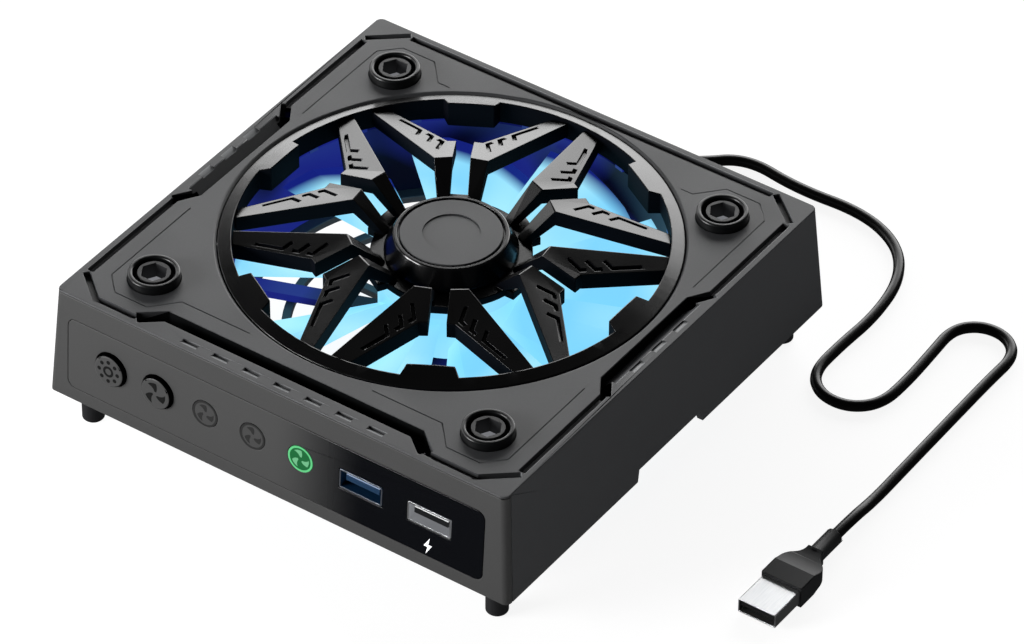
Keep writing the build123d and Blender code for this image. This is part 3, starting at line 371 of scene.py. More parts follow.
@dataclass(frozen=True)
class LitRotor:
    """A translucent rotor that pipes the lamps' light, shown as painted light: bright near the hub,
    fading to navy as painted shade.

    Attributes:
        name: The finish's name.
        light: The colour of the lit part.
        pale: A paler tone that clouds mix in.
        dark: The colour where the light has faded.
        surface: The colour of the plastic itself.
        strength: How strongly it shines.
        away: The direction in which the light fades sooner.
        reach: How far from the axis the light starts to fade, and where it has faded.
        cloud_mm: The width of one cloud.
        roughness: How far the surface spreads a highlight.
    """

    name: str = "lit_polycarbonate_rotor"
    light: str = "7FD6FF"
    pale: str = "A8ECFF"
    dark: str = "141F78"
    surface: str = "1E4A64"
    strength: float = 1.0
    away: tuple[float, float, float] = (-0.14, 0.14, 0.0)
    reach: tuple[float, float] = (61 * MM, 67 * MM)
    cloud_mm: float = 22.0
    roughness: float = 0.35

    def build(self) -> bpy.types.Material:
        """Builds the material.

        Returns:
            The finished material.
        """
        material, tree, shader = new_material(self.name)
        place = add_node(tree, "ShaderNodeTexCoord").outputs["Object"]
        centred = [-value for value in FAN_AXIS]
        flat = add_node(
            tree, "ShaderNodeMapping", Vector=place, Location=centred, Scale=(1.0, 1.0, 0.0)
        ).outputs["Vector"]
        radius = add_node(
            tree, "ShaderNodeVectorMath", {"operation": "LENGTH"}, input0=flat
        ).outputs["Value"]
        lean = add_node(
            tree, "ShaderNodeVectorMath", {"operation": "DOT_PRODUCT"}, input0=flat, input1=self.away
        ).outputs["Value"]
        sooner = add_node(
            tree, "ShaderNodeMath", {"operation": "MAXIMUM"}, input0=lean, input1=0.0
        ).outputs["Value"]
        run = add_node(
            tree, "ShaderNodeMath", {"operation": "ADD"}, input0=radius, input1=sooner
        ).outputs["Value"]
        fade = add_node(
            tree, "ShaderNodeMapRange", Value=run, From_Min=self.reach[0], From_Max=self.reach[1]
        ).outputs["Result"]
        clouds = spread(tree, grain(tree, self.cloud_mm, 0.0), 0.0, 1.0)
        lit = two_tones(tree, clouds, self.light, self.pale)
        glow = add_node(
            tree,
            "ShaderNodeMix",
            {"data_type": "RGBA"},
            input0=fade,
            input6=lit,
            input7=linear(self.dark),
        ).outputs[2]
        shader.inputs["Base Color"].default_value = linear(self.surface)
        shader.inputs["Roughness"].default_value = self.roughness
        tree.links.new(glow, shader.inputs["Emission Color"])
        shader.inputs["Emission Strength"].default_value = self.strength
        return material


@dataclass(frozen=True)
class SmokedWindow:
    """A smoked acrylic plate, near black at its right, with a painted reflection greying its left
    part.

    Attributes:
        name: The finish's name.
        left: The colour of the left part, a painted reflection.
        right: The colour of the right part.
        fade_from: Where along the row the change of colour starts.
        fade_to: Where it ends.
        roughness: How far the left part spreads a highlight.
        gloss: How far the right part does.
        shine: The specular level.
    """

    name: str = "smoked_window_painted_reflection"
    left: str = "3C3C3C"
    right: str = "08090C"
    fade_from: float = -2 * MM
    fade_to: float = 30 * MM
    roughness: float = 0.5
    gloss: float = 0.16
    shine: float = 0.3

    def build(self) -> bpy.types.Material:
        """Builds the material.

        Returns:
            The finished material.
        """
        material, tree, shader = new_material(self.name)
        place = add_node(tree, "ShaderNodeTexCoord").outputs["Object"]
        across = add_node(tree, "ShaderNodeSeparateXYZ", Vector=place).outputs["X"]
        fade = add_node(
            tree,
            "ShaderNodeMapRange",
            {"interpolation_type": "SMOOTHSTEP"},
            Value=across,
            From_Min=self.fade_from,
            From_Max=self.fade_to,
        ).outputs["Result"]
        rough = add_node(
            tree, "ShaderNodeMapRange", Value=fade, To_Min=self.roughness, To_Max=self.gloss
        ).outputs["Result"]
        tree.links.new(two_tones(tree, fade, self.left, self.right), shader.inputs["Base Color"])
        tree.links.new(rough, shader.inputs["Roughness"])
        shader.inputs["Specular IOR Level"].default_value = self.shine
        return material


@dataclass(frozen=True)
class DuctGlow:
    """Black glass-filled plastic inside the duct, with painted blue light in patches for the lamps'
    light.

    Attributes:
        name: The finish's name.
        colour: The plastic's colour.
        light: The colour of the patches.
        strength: How strongly they shine.
        patch_mm: The width of one patch.
        side: Where across the duct the left side's extra light is whole, and where it ends.
        extra: How much that side adds to the pattern.
        edge: The pattern's value where a patch begins and where it is whole.
        rest: How much light is left between the patches.
        roughness: How far the surface spreads a highlight.
        shine: The specular level.
    """

    name: str = "lit_duct_plastic"
    colour: str = "07080B"
    light: str = "2A38B8"
    strength: float = 0.42
    patch_mm: float = 26.0
    side: tuple[float, float] = (-70 * MM, 30 * MM)
    extra: float = 0.22
    edge: tuple[float, float] = (0.5, 0.72)
    rest: float = 0.03
    roughness: float = 0.45
    shine: float = 0.3

    def build(self) -> bpy.types.Material:
        """Builds the material.

        Returns:
            The finished material.
        """
        material, tree, shader = new_material(self.name)
        patches = grain(tree, self.patch_mm, 0.0)
        place = add_node(tree, "ShaderNodeTexCoord").outputs["Object"]
        across = add_node(tree, "ShaderNodeSeparateXYZ", Vector=place).outputs["X"]
        left = add_node(
            tree,
            "ShaderNodeMapRange",
            Value=across,
            From_Min=self.side[0],
            From_Max=self.side[1],
            To_Min=self.extra,
            To_Max=0.0,
        ).outputs["Result"]
        lit = add_node(
            tree, "ShaderNodeMath", {"operation": "ADD"}, input0=patches, input1=left
        ).outputs["Value"]
        amount = add_node(
            tree,
            "ShaderNodeMapRange",
            Value=lit,
            From_Min=self.edge[0],
            From_Max=self.edge[1],
            To_Min=self.rest,
            To_Max=1.0,
        ).outputs["Result"]
        tree.links.new(two_tones(tree, amount, BLACK, self.light), shader.inputs["Emission Color"])
        shader.inputs["Base Color"].default_value = linear(self.colour)
        shader.inputs["Roughness"].default_value = self.roughness
        shader.inputs["Specular IOR Level"].default_value = self.shine
        shader.inputs["Emission Strength"].default_value = self.strength
        return material


FINISHES: dict[str, MouldedPlastic | Steel | LitPlastic | LitRotor | SmokedWindow | DuctGlow] = {
    # Spark-eroded mouldings: charcoal with a soft sheen and no mirror image
    "housing": MouldedPlastic("spark_textured_abs", "3E3F41", "393A3C", 0.5, shine=0.52),
    "fascia": MouldedPlastic("spark_textured_abs_front", "3C3C3C", "383838", 0.5, shine=0.3),
    # The same plastic: painted shade in the deep troughs, a painted highlight on the recesses' floors
    "trough": MouldedPlastic("painted_shade_abs_trough", "090A0B", "08090A", 0.7, shine=0.05),
    "recess": MouldedPlastic("painted_highlight_abs_recess", "7C7E80", "747678", 0.5, shine=0.52),
    # Satin black mouldings, whose smoother grain shows the lamps as streaks; their walls stay matt,
    # and the keys' walls are painted near black as painted shade
    "grille": MouldedPlastic("satin_abs_grille", "020203", "020202", 0.26, 0.3, 0.006),
    "grille_wall": MouldedPlastic("matt_abs_grille_wall", "040509", "03040A", 0.7, shine=0.05),
    "cap_rim": MouldedPlastic("polished_abs_cap_rim", "060607", "050506", 0.2, 0.3, 0.003),
    "cap_wall": MouldedPlastic("painted_shade_key_wall", "030303", "020202", 0.7, shine=0.0),
    "boss": MouldedPlastic("satin_abs_boss", "0C0D0E", "0A0B0C", 0.3, 0.3, 0.006),
    # Rubber that drinks light, and a faint painted glow on the floor of each boss's hexagon
    "pad": LitPlastic("painted_glow_hexagon_floor", "6A6C70", "C8CAD0", "B8BAC0", Glow.LOW.value),
    "rubber": MouldedPlastic("moulded_rubber", "141416", "18181A", 0.5, 0.5, 0.02),
    # Black glass-filled plastic with painted blue light in patches, and smoked acrylic that hides
    # what is behind it, with a painted reflection greying its left part
    "frame": DuctGlow(),
    "window": SmokedWindow(),
    # Electrical parts: green lacquer over glass fibre, milky nylon, dark glossy wire and dull iron
    "board": MouldedPlastic("solder_mask_board", "1E3B2A", "1A3325", 0.35, 0.8, 0.01),
    "nylon": MouldedPlastic("white_nylon", "C9C8C2", "BFBEB8", 0.4),
    "copper": MouldedPlastic("enamelled_copper_wire", "8C4A22", "6E3717", 0.3, 0.4, 0.05),
    "iron": Steel("stamped_stator_iron", "6B6D70", "57595C", 0.45),
    # Rolled steel: nickel plating is bright with stretched highlights, and tin is duller and bluer
    "steel": Steel("nickel_plated_steel"),
    "bright": Steel("bright_nickel_plated_steel", "F2F3F4", "E6E8EA", 0.35),
    "dull": Steel("tin_plated_socket_steel", "A4AAB4", "989EA8", 0.4),
    # The charging socket's plated lining, an even grey with painted light
    "throat": LitPlastic("painted_light_socket_lining", "4A4C50", "A0A2A6", "8A8C90", Glow.DIM.value),
    # Zinc plating is greyer and duller than nickel, and sintered ferrite is a dull dark stone
    "screw": Steel("zinc_plated_screw_steel", "8E9094", "7A7C80", 0.35),
    "ferrite": MouldedPlastic("sintered_ferrite", "2B2A2A", "222121", 0.6, 0.6, 0.02),
    # Nylon tongues, with painted light on their tops and painted shade on their walls
    "blue_top": LitPlastic("painted_light_blue_tongue_top", "A8B8D4", "A8B8D4", "9CB0D0", Glow.DIM.value),
    "blue_side": MouldedPlastic("painted_shade_blue_tongue_wall", "0A2E4C", "092844", 0.4),
    "white_top": LitPlastic("painted_light_white_tongue_top", "E4E5E6", "E4E5E6", "D8DADC", Glow.HIGH.value),
    "black_side": MouldedPlastic("painted_shade_charge_tongue_wall", "0B0C0E", "0E0F11", 0.4),
    # Soft PVC: glossy on the drawn lead, dull on the moulded plug
    "pvc": MouldedPlastic("gloss_pvc_lead", "040404", "060606", 0.3, 0.6, 0.004, shine=0.3),
    "plug": MouldedPlastic("moulded_pvc_plug", "1E1F20", "1A1B1C", 0.5, 0.4, 0.008, shine=0.2),
    # Glass-filled PBT: a matt black block in the plug's mouth
    "insert": MouldedPlastic("black_pbt_insert", "0A0A0C", "08080A", 0.45),
    # Polycarbonate with lamps behind it: a sky blue rotor whose glow is painted light, white points,
    # and the window's light pipes
    "rotor": LitRotor(),
    "lamp": LitPlastic("lamp_phosphor", "DCEFFF", "A8E4FF", "C4F0FF", Glow.LAMP.value),
    "lamp_blue": LitPlastic("blue_lamp_lens", "10142E", "2233A8", "1C2A8C", Glow.DIM.value),
    "lens_off": MouldedPlastic("smoked_light_pipe", "3A3A3A", "363636", 0.5, shine=0.3),
    "lens_on": LitPlastic("green_light_pipe", "0B3A1E", "1C8C46", "187A3E", Glow.LOW.value),
    # Pad print: flat ink without a highlight of its own, lit from behind where its lamp is on
    "print": LitPlastic("white_pad_print", "F4F5F6", "F0F2F4", "E8ECF0", Glow.LOW.value),
    "print_dark": MouldedPlastic("black_pad_print", "181818", "161616", 0.5, shine=0.03),
    "print_faint": MouldedPlastic("grey_pad_print", "2A2A2A", "272727", 0.5, shine=0.03),
    "print_rim": LitPlastic("lit_green_rim", "2C7C4A", "78DC96", "6CD08C", Glow.DIM.value),
    "print_fan": LitPlastic("lit_green_fan", "3C7850", "90D8A8", "84CC9C", Glow.LOW.value),
}


class Workshop:
    """Makes, finishes and dresses pieces, and keeps one material for each finish.

    Attributes:
        frame: The loaded frame, with its nodes by name.
        materials: The materials made so far, by their finish's key.
    """

    def __init__(self, frame: dict) -> None:
        """Starts with the loaded frame.

        Args:
            frame: What the frame's loader returns, with the nodes by name.
        """
        self.frame = frame
        self.materials: dict[str, bpy.types.Material] = {}

    def material(self, finish: str) -> bpy.types.Material:
        """Returns the material of a finish, made on first use.

        Args:
            finish: The finish's key.

        Returns:
            The material that all pieces of that finish share.
        """
        if finish not in self.materials:
            self.materials[finish] = FINISHES[finish].build()
        return self.materials[finish]

    def paint(self, piece: bpy.types.Object, finish: str) -> None:
        """Gives a piece one finish all over."""
        piece.data.materials.clear()
        piece.data.materials.append(self.material(finish))

    def paint_where(
        self, piece: bpy.types.Object, finish: str, test: Callable[[Vector, Vector], bool]
    ) -> None:
        """Gives another finish to the faces that pass a test.

        Args:
            piece: The piece, which has its first finish already.
            finish: The other finish's key.
            test: Takes a face's middle and normal and says whether it has the finish.
        """
        piece.data.materials.append(self.material(finish))
        for face in piece.data.polygons:
            if test(face.center, face.normal):
                face.material_index = len(piece.data.materials) - 1

    def paint_nodes(self, finish: str, *nodes: str) -> None:
        """Gives carried-over nodes a finish in their own slots.

        Args:
            finish: The finish's key.
            *nodes: The nodes' names.
        """
        for name in nodes:
            for slot in self.frame["nodes"][name].material_slots:
                slot.material = self.material(finish)
            LOG.info("%s painted as %s", name, finish)

    @staticmethod
    def pick(*pieces: bpy.types.Object) -> None:
        """Selects these pieces alone and makes the last one active.

        Args:
            *pieces: The pieces.
        """
        bpy.ops.object.select_all(action="DESELECT")
        for piece in pieces:
            piece.select_set(True)
            bpy.context.view_layer.objects.active = piece

    @staticmethod
    def apply_modifier(piece: bpy.types.Object, kind: str, **settings) -> None:
        """Adds a modifier to a piece and applies it.

        Args:
            piece: The piece.
            kind: Blender's name for the modifier.
            **settings: The modifier's own properties.
        """
        Workshop.pick(piece)
        modifier = piece.modifiers.new(kind.lower(), kind)
        for name, value in settings.items():
            setattr(modifier, name, value)
        bpy.ops.object.modifier_apply(modifier=modifier.name)

    @staticmethod
    def settle(piece: bpy.types.Object) -> None:
        """Moves a piece's place, turn and scale into its mesh."""
        Workshop.pick(piece)
        bpy.ops.object.transform_apply(location=True, rotation=True, scale=True)

    @staticmethod
    def surfaces(
        shape: bmesh.types.BMesh, turn: float
    ) -> tuple[dict[bmesh.types.BMFace, int], list[float], list[float]]:
        """Parts a mesh into surfaces that reach from bend to bend.

        Args:
            shape: The mesh.
            turn: The least angle of an edge that parts two surfaces, in degrees.

        Returns:
            The number of each face's surface, and each surface's area and rim.
        """
        surface_of: dict[bmesh.types.BMFace, int] = {}
        areas: list[float] = []
        rims: list[float] = []
        for start in shape.faces:
            if start in surface_of:
                continue
            surface_of[start] = len(areas)
            waiting, area, rim = [start], 0.0, 0.0
            while waiting:
                face = waiting.pop()
                area += face.calc_area()
                for edge in face.edges:
                    if len(edge.link_faces) != 2 or edge.calc_face_angle(0.0) > math.radians(turn):
                        rim += edge.calc_length()
                        continue
                    for other in edge.link_faces:
                        if other not in surface_of:
                            surface_of[other] = len(areas)
                            waiting.append(other)
            areas.append(area)
            rims.append(rim)
        return surface_of, areas, rims

    @staticmethod
    def mark_edges(mesh: bpy.types.Mesh, width: float) -> None:
        """Marks the sharp edges that have room for a rounding, and leaves thin grooves crisp.

        Args:
            mesh: The mesh to mark, as bevel weights on its edges.
            width: The width of the rounding.
        """
        shape = bmesh.new()
        shape.from_mesh(mesh)
        weights = shape.edges.layers.float.new("bevel_weight_edge")
        surface_of, areas, rims = Workshop.surfaces(shape, SHARP_TURN)
        for edge in shape.edges:
            if len(edge.link_faces) != 2 or edge.calc_face_angle(0.0) <= math.radians(SHARP_TURN):
                continue
            sides = [surface_of[face] for face in edge.link_faces]
            if min(2 * areas[side] / rims[side] for side in sides) > ROOM_FOR_ROUNDING * width:
                edge[weights] = 1.0
        shape.to_mesh(mesh)
        shape.free()

    @staticmethod
    def level_normals(mesh: bpy.types.Mesh) -> None:
        """Turns each corner's normal to the widest flats that meet there, so only roundings shade.

        Args:
            mesh: The mesh, with its sharp edges marked.
        """
        shape = bmesh.new()
        shape.from_mesh(mesh)
        shape.normal_update()
        flat_of, areas, _ = Workshop.surfaces(shape, FLAT_TURN)
        turned: dict[tuple[int, int], Vector] = {}
        for vertex in shape.verts:
            for start in vertex.link_faces:
                if (vertex.index, start.index) in turned:
                    continue
                around, waiting = {start}, [start]
                while waiting:
                    for edge in waiting.pop().edges:
                        if vertex in edge.verts and edge.smooth:
                            fresh = [face for face in edge.link_faces if face not in around]
                            around.update(fresh)
                            waiting.extend(fresh)
                in_order = sorted(around, key=lambda face: face.index)  # the same each run
                flats = {flat_of[face]: face.normal for face in in_order}
                total = sum((normal * areas[flat] for flat, normal in flats.items()), Vector())
                for face in around:
                    level = total.normalized() if total.length else face.normal
                    turned[vertex.index, face.index] = level
        normals = [
            turned[loop.vert.index, face.index] for face in shape.faces for loop in face.loops
        ]
        mesh.normals_split_custom_set([normal[:] for normal in normals])
        shape.free()

    def soften(
        self,
        node: str,
        name: str,
        finish: str,
        slot: str,
        edge: Edge,
        body: str = "root",
        cutter: bpy.types.Object | None = None,
    ) -> bpy.types.Object:
        """Copies a node's mesh and rounds its sharp edges, so that they catch the light.

        Args:
            node: The node that the copy stands for.
            name: The new piece's name.
            finish: The finish's key.
            slot: The record's material slot; not used.
            edge: The width of the rounded edges.
            body: The body that the piece rides on.
            cutter: A shape that is cut out of the copy and then removed.

        Returns:
            The new piece.
        """
        piece = bpy.data.objects.new(name, self.frame["nodes"][node].data.copy())
        bpy.context.scene.collection.objects.link(piece)
        self.pick(piece)
        bpy.ops.object.mode_set(mode="EDIT")
        bpy.ops.mesh.select_all(action="SELECT")
        bpy.ops.mesh.remove_doubles(threshold=WELD)
        bpy.ops.object.mode_set(mode="OBJECT")
        if cutter:
            self.apply_modifier(piece, "BOOLEAN", operation="DIFFERENCE", object=cutter)
            bpy.data.objects.remove(cutter)
            self.pick(piece)
        bpy.ops.object.shade_smooth_by_angle(angle=math.radians(SMOOTH_TURN))
        self.mark_edges(piece.data, edge.value * MM)
        self.apply_modifier(
            piece,
            "BEVEL",
            width=edge.value * MM,
            segments=ROUNDING_FACES,
            limit_method="WEIGHT",
            use_clamp_overlap=False,
        )
        self.level_normals(piece.data)
        self.paint(piece, finish)
        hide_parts(node)
        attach(piece, body)
        LOG.info("%s stands for %s with %d faces", name, node, len(piece.data.polygons))
        return piece


def ring(radius: float, x: float = 0.0, y: float = 0.0, count: int = 40) -> list[tuple[float, float]]:
    """Draws a circle.

    Args:
        radius: Its radius in millimetres.
        x: Its middle's place across the mark.
        y: Its middle's place up the mark.
        count: How many points it has.

    Returns:
        Its points.
    """
    turns = [math.tau * step / count for step in range(count)]
    return [(x + radius * math.cos(turn), y + radius * math.sin(turn)) for turn in turns]


def fan_mark(
    reach: float,
    root: float = 0.8,
    blades: int = 3,
    lead_turns: tuple[float, float] = (10, 44),
    trail_turns: tuple[float, float] = (-30, -6),
    parts: int = 8,
) -> list[list[tuple[float, float]]]:
    """Draws a small fan of curved blades.

    Args:
        reach: The tip's radius in millimetres.
        root: The radius where a blade starts.
        blades: How many blades it has.
        lead_turns: The leading edge's angle at the root and at the tip, in degrees.
        trail_turns: The same for the trailing edge.
        parts: How many straight parts each edge has.

    Returns:
        One closed outline for each blade.
    """
    steps = [step / parts for step in range(parts + 1)]
    length = reach - root
    lead_sweep = lead_turns[1] - lead_turns[0]
    tip_sweep = trail_turns[1] - lead_turns[1]
    trail_sweep = trail_turns[1] - trail_turns[0]
    outlines = []
    for blade in range(blades):
        start = 90 + 360 * blade / blades
        lead = [(root + length * t, start + lead_turns[0] + lead_sweep * t) for t in steps]
        tip = [(reach, start + lead_turns[1] + tip_sweep * t) for t in steps[1:-1]]
        trail = [
            (root + length * t, start + trail_turns[0] + trail_sweep * t) for t in reversed(steps)
        ]
        outlines.append(
            [
                (radius * math.cos(math.radians(turn)), radius * math.sin(math.radians(turn)))
                for radius, turn in lead + tip + trail
            ]
        )
    return outlines


@dataclass
class Printer:
    """Prints thin marks on the front's slanted plane.

    Attributes:
        shop: Where pieces are made.
        lean: How far the front wall leans back, in degrees.
        front: The middle of the row of keys on the wall's outer face.
        film: How thick the print is.
        ray: How far in front of the wall a mark starts on its way to its carrier.
    """

    shop: Workshop
    lean: float = 3.89
    front: tuple[float, float, float] = (0.0, -76.2714 * MM, 28.1 * MM)
    film: float = 0.04 * MM
    ray: float = 20 * MM

    def axes(self) -> tuple[Vector, Vector]:
        """Works out how the wall stands.

        Returns:
            Its upward direction and its outward normal.
        """
        lean = math.radians(self.lean)
        up = Vector((0, math.sin(lean), math.cos(lean)))
        return up, Vector((0, -math.cos(lean), math.sin(lean)))

    def mark(
        self,
        name: str,
        outlines: list[list[tuple[float, float]]],
        at: tuple[float, float],
        finish: str,
        slot: str,
        carrier: bpy.types.Object,
        body: str = "root",
    ) -> bpy.types.Object:
        """Prints one mark where a straight line from the front meets its carrier.

        Args:
            name: The new piece's name.
            outlines: Closed outlines in millimetres, where an inner one is a hole.
            at: The mark's place along the row and above it, in millimetres.
            finish: The finish's key.
            slot: The record's material slot; not used.
            carrier: The piece that the mark is printed on.
            body: The body that the mark rides on.

        Returns:
            The new piece.
        """
        up, outward = self.axes()
        aim = Vector(self.front) + Vector((at[0] * MM, 0, 0)) + up * at[1] * MM
        bpy.context.view_layer.update()
        found, place, _, _ = carrier.ray_cast(aim + outward * self.ray, -outward)
        if not found:
            raise ValueError(f"{name} misses {carrier.name}")
        curve = bpy.data.curves.new(name, "CURVE")
        curve.dimensions = "2D"
        curve.fill_mode = "BOTH"
        curve.extrude = self.film / 2
        for outline in outlines:
            spline = curve.splines.new("POLY")
            spline.points.add(len(outline) - 1)
            for point, (x, y) in zip(spline.points, outline):
                point.co = (x * MM, y * MM, 0.0, 1.0)
            spline.use_cyclic_u = True
        piece = bpy.data.objects.new(name, curve)
        bpy.context.scene.collection.objects.link(piece)
        self.shop.pick(piece)
        bpy.ops.object.convert(target="MESH")
        piece = bpy.context.active_object
        turn = Matrix((Vector((1, 0, 0)), up, outward)).transposed().to_4x4()
        piece.matrix_world = Matrix.Translation(place + outward * self.film / 2) @ turn
        self.shop.settle(piece)
        self.shop.paint(piece, finish)
        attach(piece, body)
        LOG.info("%s printed with %d faces", name, len(piece.data.polygons))
        return piece


@dataclass
class Shell:
    """The housing, the front wall, the bottom cover and the feet.

    Attributes:
        shop: Where pieces are made.
        hexagon_depth: How deep the hexagon of a boss is.
        floor_room: How far from that depth its floor may lie.
        level: A face whose normal points up more than this is level.
        lip_inner: The troughs are nearer to the middle than this.
        wall_from: A trough's wall has its middle deeper than this, and a channel's has not.
        floor_from: A trough's floor and slope are deeper than this.
        trough_end: Nothing of a trough is deeper than this.
        wall_tilt: A face whose normal points up less than this is a wall.
        recess_band: How far from the middle the floors of the lip's recesses begin and end.
        recess_depth: Their middles are less deep than this.
        recess_tilt: How far up the normals of these sloping floors point.
    """

    shop: Workshop
    hexagon_depth: float = 4.7 * MM
    floor_room: float = 0.2 * MM
    level: float = 0.9
    lip_inner: float = 73.0 * MM
    wall_from: float = 1.2 * MM
    floor_from: float = 3.0 * MM
    trough_end: float = 5.5 * MM
    wall_tilt: float = 0.5
    recess_band: tuple[float, float] = (71.5 * MM, 74.2 * MM)
    recess_depth: float = 0.9 * MM
    recess_tilt: tuple[float, float] = (0.86, 0.94)

    def build(self) -> None:
        """Dresses every moulded piece of the outside."""
        self.dress_housing()
        small, crisp = Edge.SMALL_MOULDING, Edge.CRISP_RIM
        self.shop.soften("front_fascia", "front_wall", "fascia", "housing_abs", Edge.HOUSING)
        self.shop.soften("base_cover", "bottom_cover", "housing", "housing_abs", small)
        for place in ("front_left", "front_right", "back_left", "back_right"):
            self.shop.soften(f"foot_{place}", f"peg_foot_{place}", "rubber", "foot_rubber", small)
            self.shop.soften(
                f"corner_ring_{place}", f"boss_ring_{place}", "boss", "boss_abs", crisp
            )
            self.dress_bush(place)

    def dress_housing(self) -> None:
        """Dresses the housing, with painted shade in its troughs and painted highlights in the lip's
        recesses.
        """
        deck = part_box("upper_housing")[1][2]
        shell = self.shop.soften(
            "upper_housing", "housing_shell", "housing", "housing_abs", Edge.HOUSING
        )

        def in_trough(middle: Vector, normal: Vector) -> bool:
            """Finds the faces of the deep troughs in the deck.

            Args:
                middle: The face's middle.
                normal: Its normal.

            Returns:
                Whether it is a trough's wall, slope or floor.
            """
            depth = deck - middle.z
            inside = max(abs(middle.x), abs(middle.y)) < self.lip_inner
            wall = normal.z < self.wall_tilt and depth > self.wall_from
            return inside and depth < self.trough_end and (wall or depth > self.floor_from)

        def in_recess(middle: Vector, normal: Vector) -> bool:
            """Finds the sloping floors of the lip's recesses.

            Args:
                middle: The face's middle.
                normal: Its normal.

            Returns:
                Whether it is such a floor.
            """
            inner, outer = self.recess_band
            low, high = self.recess_tilt
            in_band = inner < max(abs(middle.x), abs(middle.y)) < outer
            return in_band and low < normal.z < high and deck - middle.z < self.recess_depth

        # Painted shade: the troughs' walls and floors are painted near black
        self.shop.paint_where(shell, "trough", in_trough)
        # Painted highlight: the sloping floors of the lip's recesses are painted pale
        self.shop.paint_where(shell, "recess", in_recess)

    def dress_bush(self, place: str) -> None:
        """Dresses one rubber bush, with a faint painted glow on the floor of its hexagon.

        Args:
            place: The corner that it is in.
        """
        _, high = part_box(f"corner_bush_{place}")
        bush = self.shop.soften(
            f"corner_bush_{place}", f"boss_bush_{place}", "rubber", "boss_rubber", Edge.CRISP_RIM
        )
        floor = high[2] - self.hexagon_depth
        # Painted light: the hexagon's floor glows faintly
        self.shop.paint_where(
            bush,
            "pad",
            lambda middle, normal: normal.z > self.level
            and abs(middle.z - floor) < self.floor_room,
        )


@dataclass
class Grille:
    """The bezel ring, the star grille and the hub cap.

    Attributes:
        shop: Where pieces are made.
        wall_tilt: A face whose normal points up less than this is a wall.
        dish_r: The radius of the shallow recess in the cap.
        dish_depth: The depth of the recess.
        dish_points: How finely the recess's rim is drawn.
        disc_r: The radius of the cap's flat top.
    """

    shop: Workshop
    wall_tilt: float = 0.45
    dish_r: float = 8.1 * MM
    dish_depth: float = 0.35 * MM
    dish_points: int = 96
    disc_r: float = 14.4 * MM

    def build(self) -> None:
        """Dresses the grille's three mouldings."""
        bezel = self.shop.soften(
            "ring_bezel", "bezel_ring", "grille", "grille_abs", Edge.SOFT_MOULDING
        )
        arms = self.shop.soften(
            "star_grille", "star_arms", "grille", "grille_abs", Edge.GRILLE_ARM
        )
        for piece in (bezel, arms):
            self.shop.paint_where(piece, "grille_wall", lambda _, normal: normal.z < self.wall_tilt)
        _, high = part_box("hub_cap")
        bpy.ops.object.select_all(action="DESELECT")
        bpy.ops.mesh.primitive_cylinder_add(
            vertices=self.dish_points,
            radius=self.dish_r,
            depth=2 * self.dish_depth,
            location=(*FAN_AXIS[:2], high[2]),
        )
        cap = self.shop.soften(
            "hub_cap",
            "centre_cap",
            "cap_rim",
            "grille_abs",
            Edge.SMALL_MOULDING,
            cutter=bpy.context.active_object,
        )
        self.shop.paint_where(
            cap,
            "housing",
            lambda middle, _: (middle - Vector(FAN_AXIS)).to_2d().length < self.disc_r
            and middle.z > high[2] - 2 * self.dish_depth,
        )


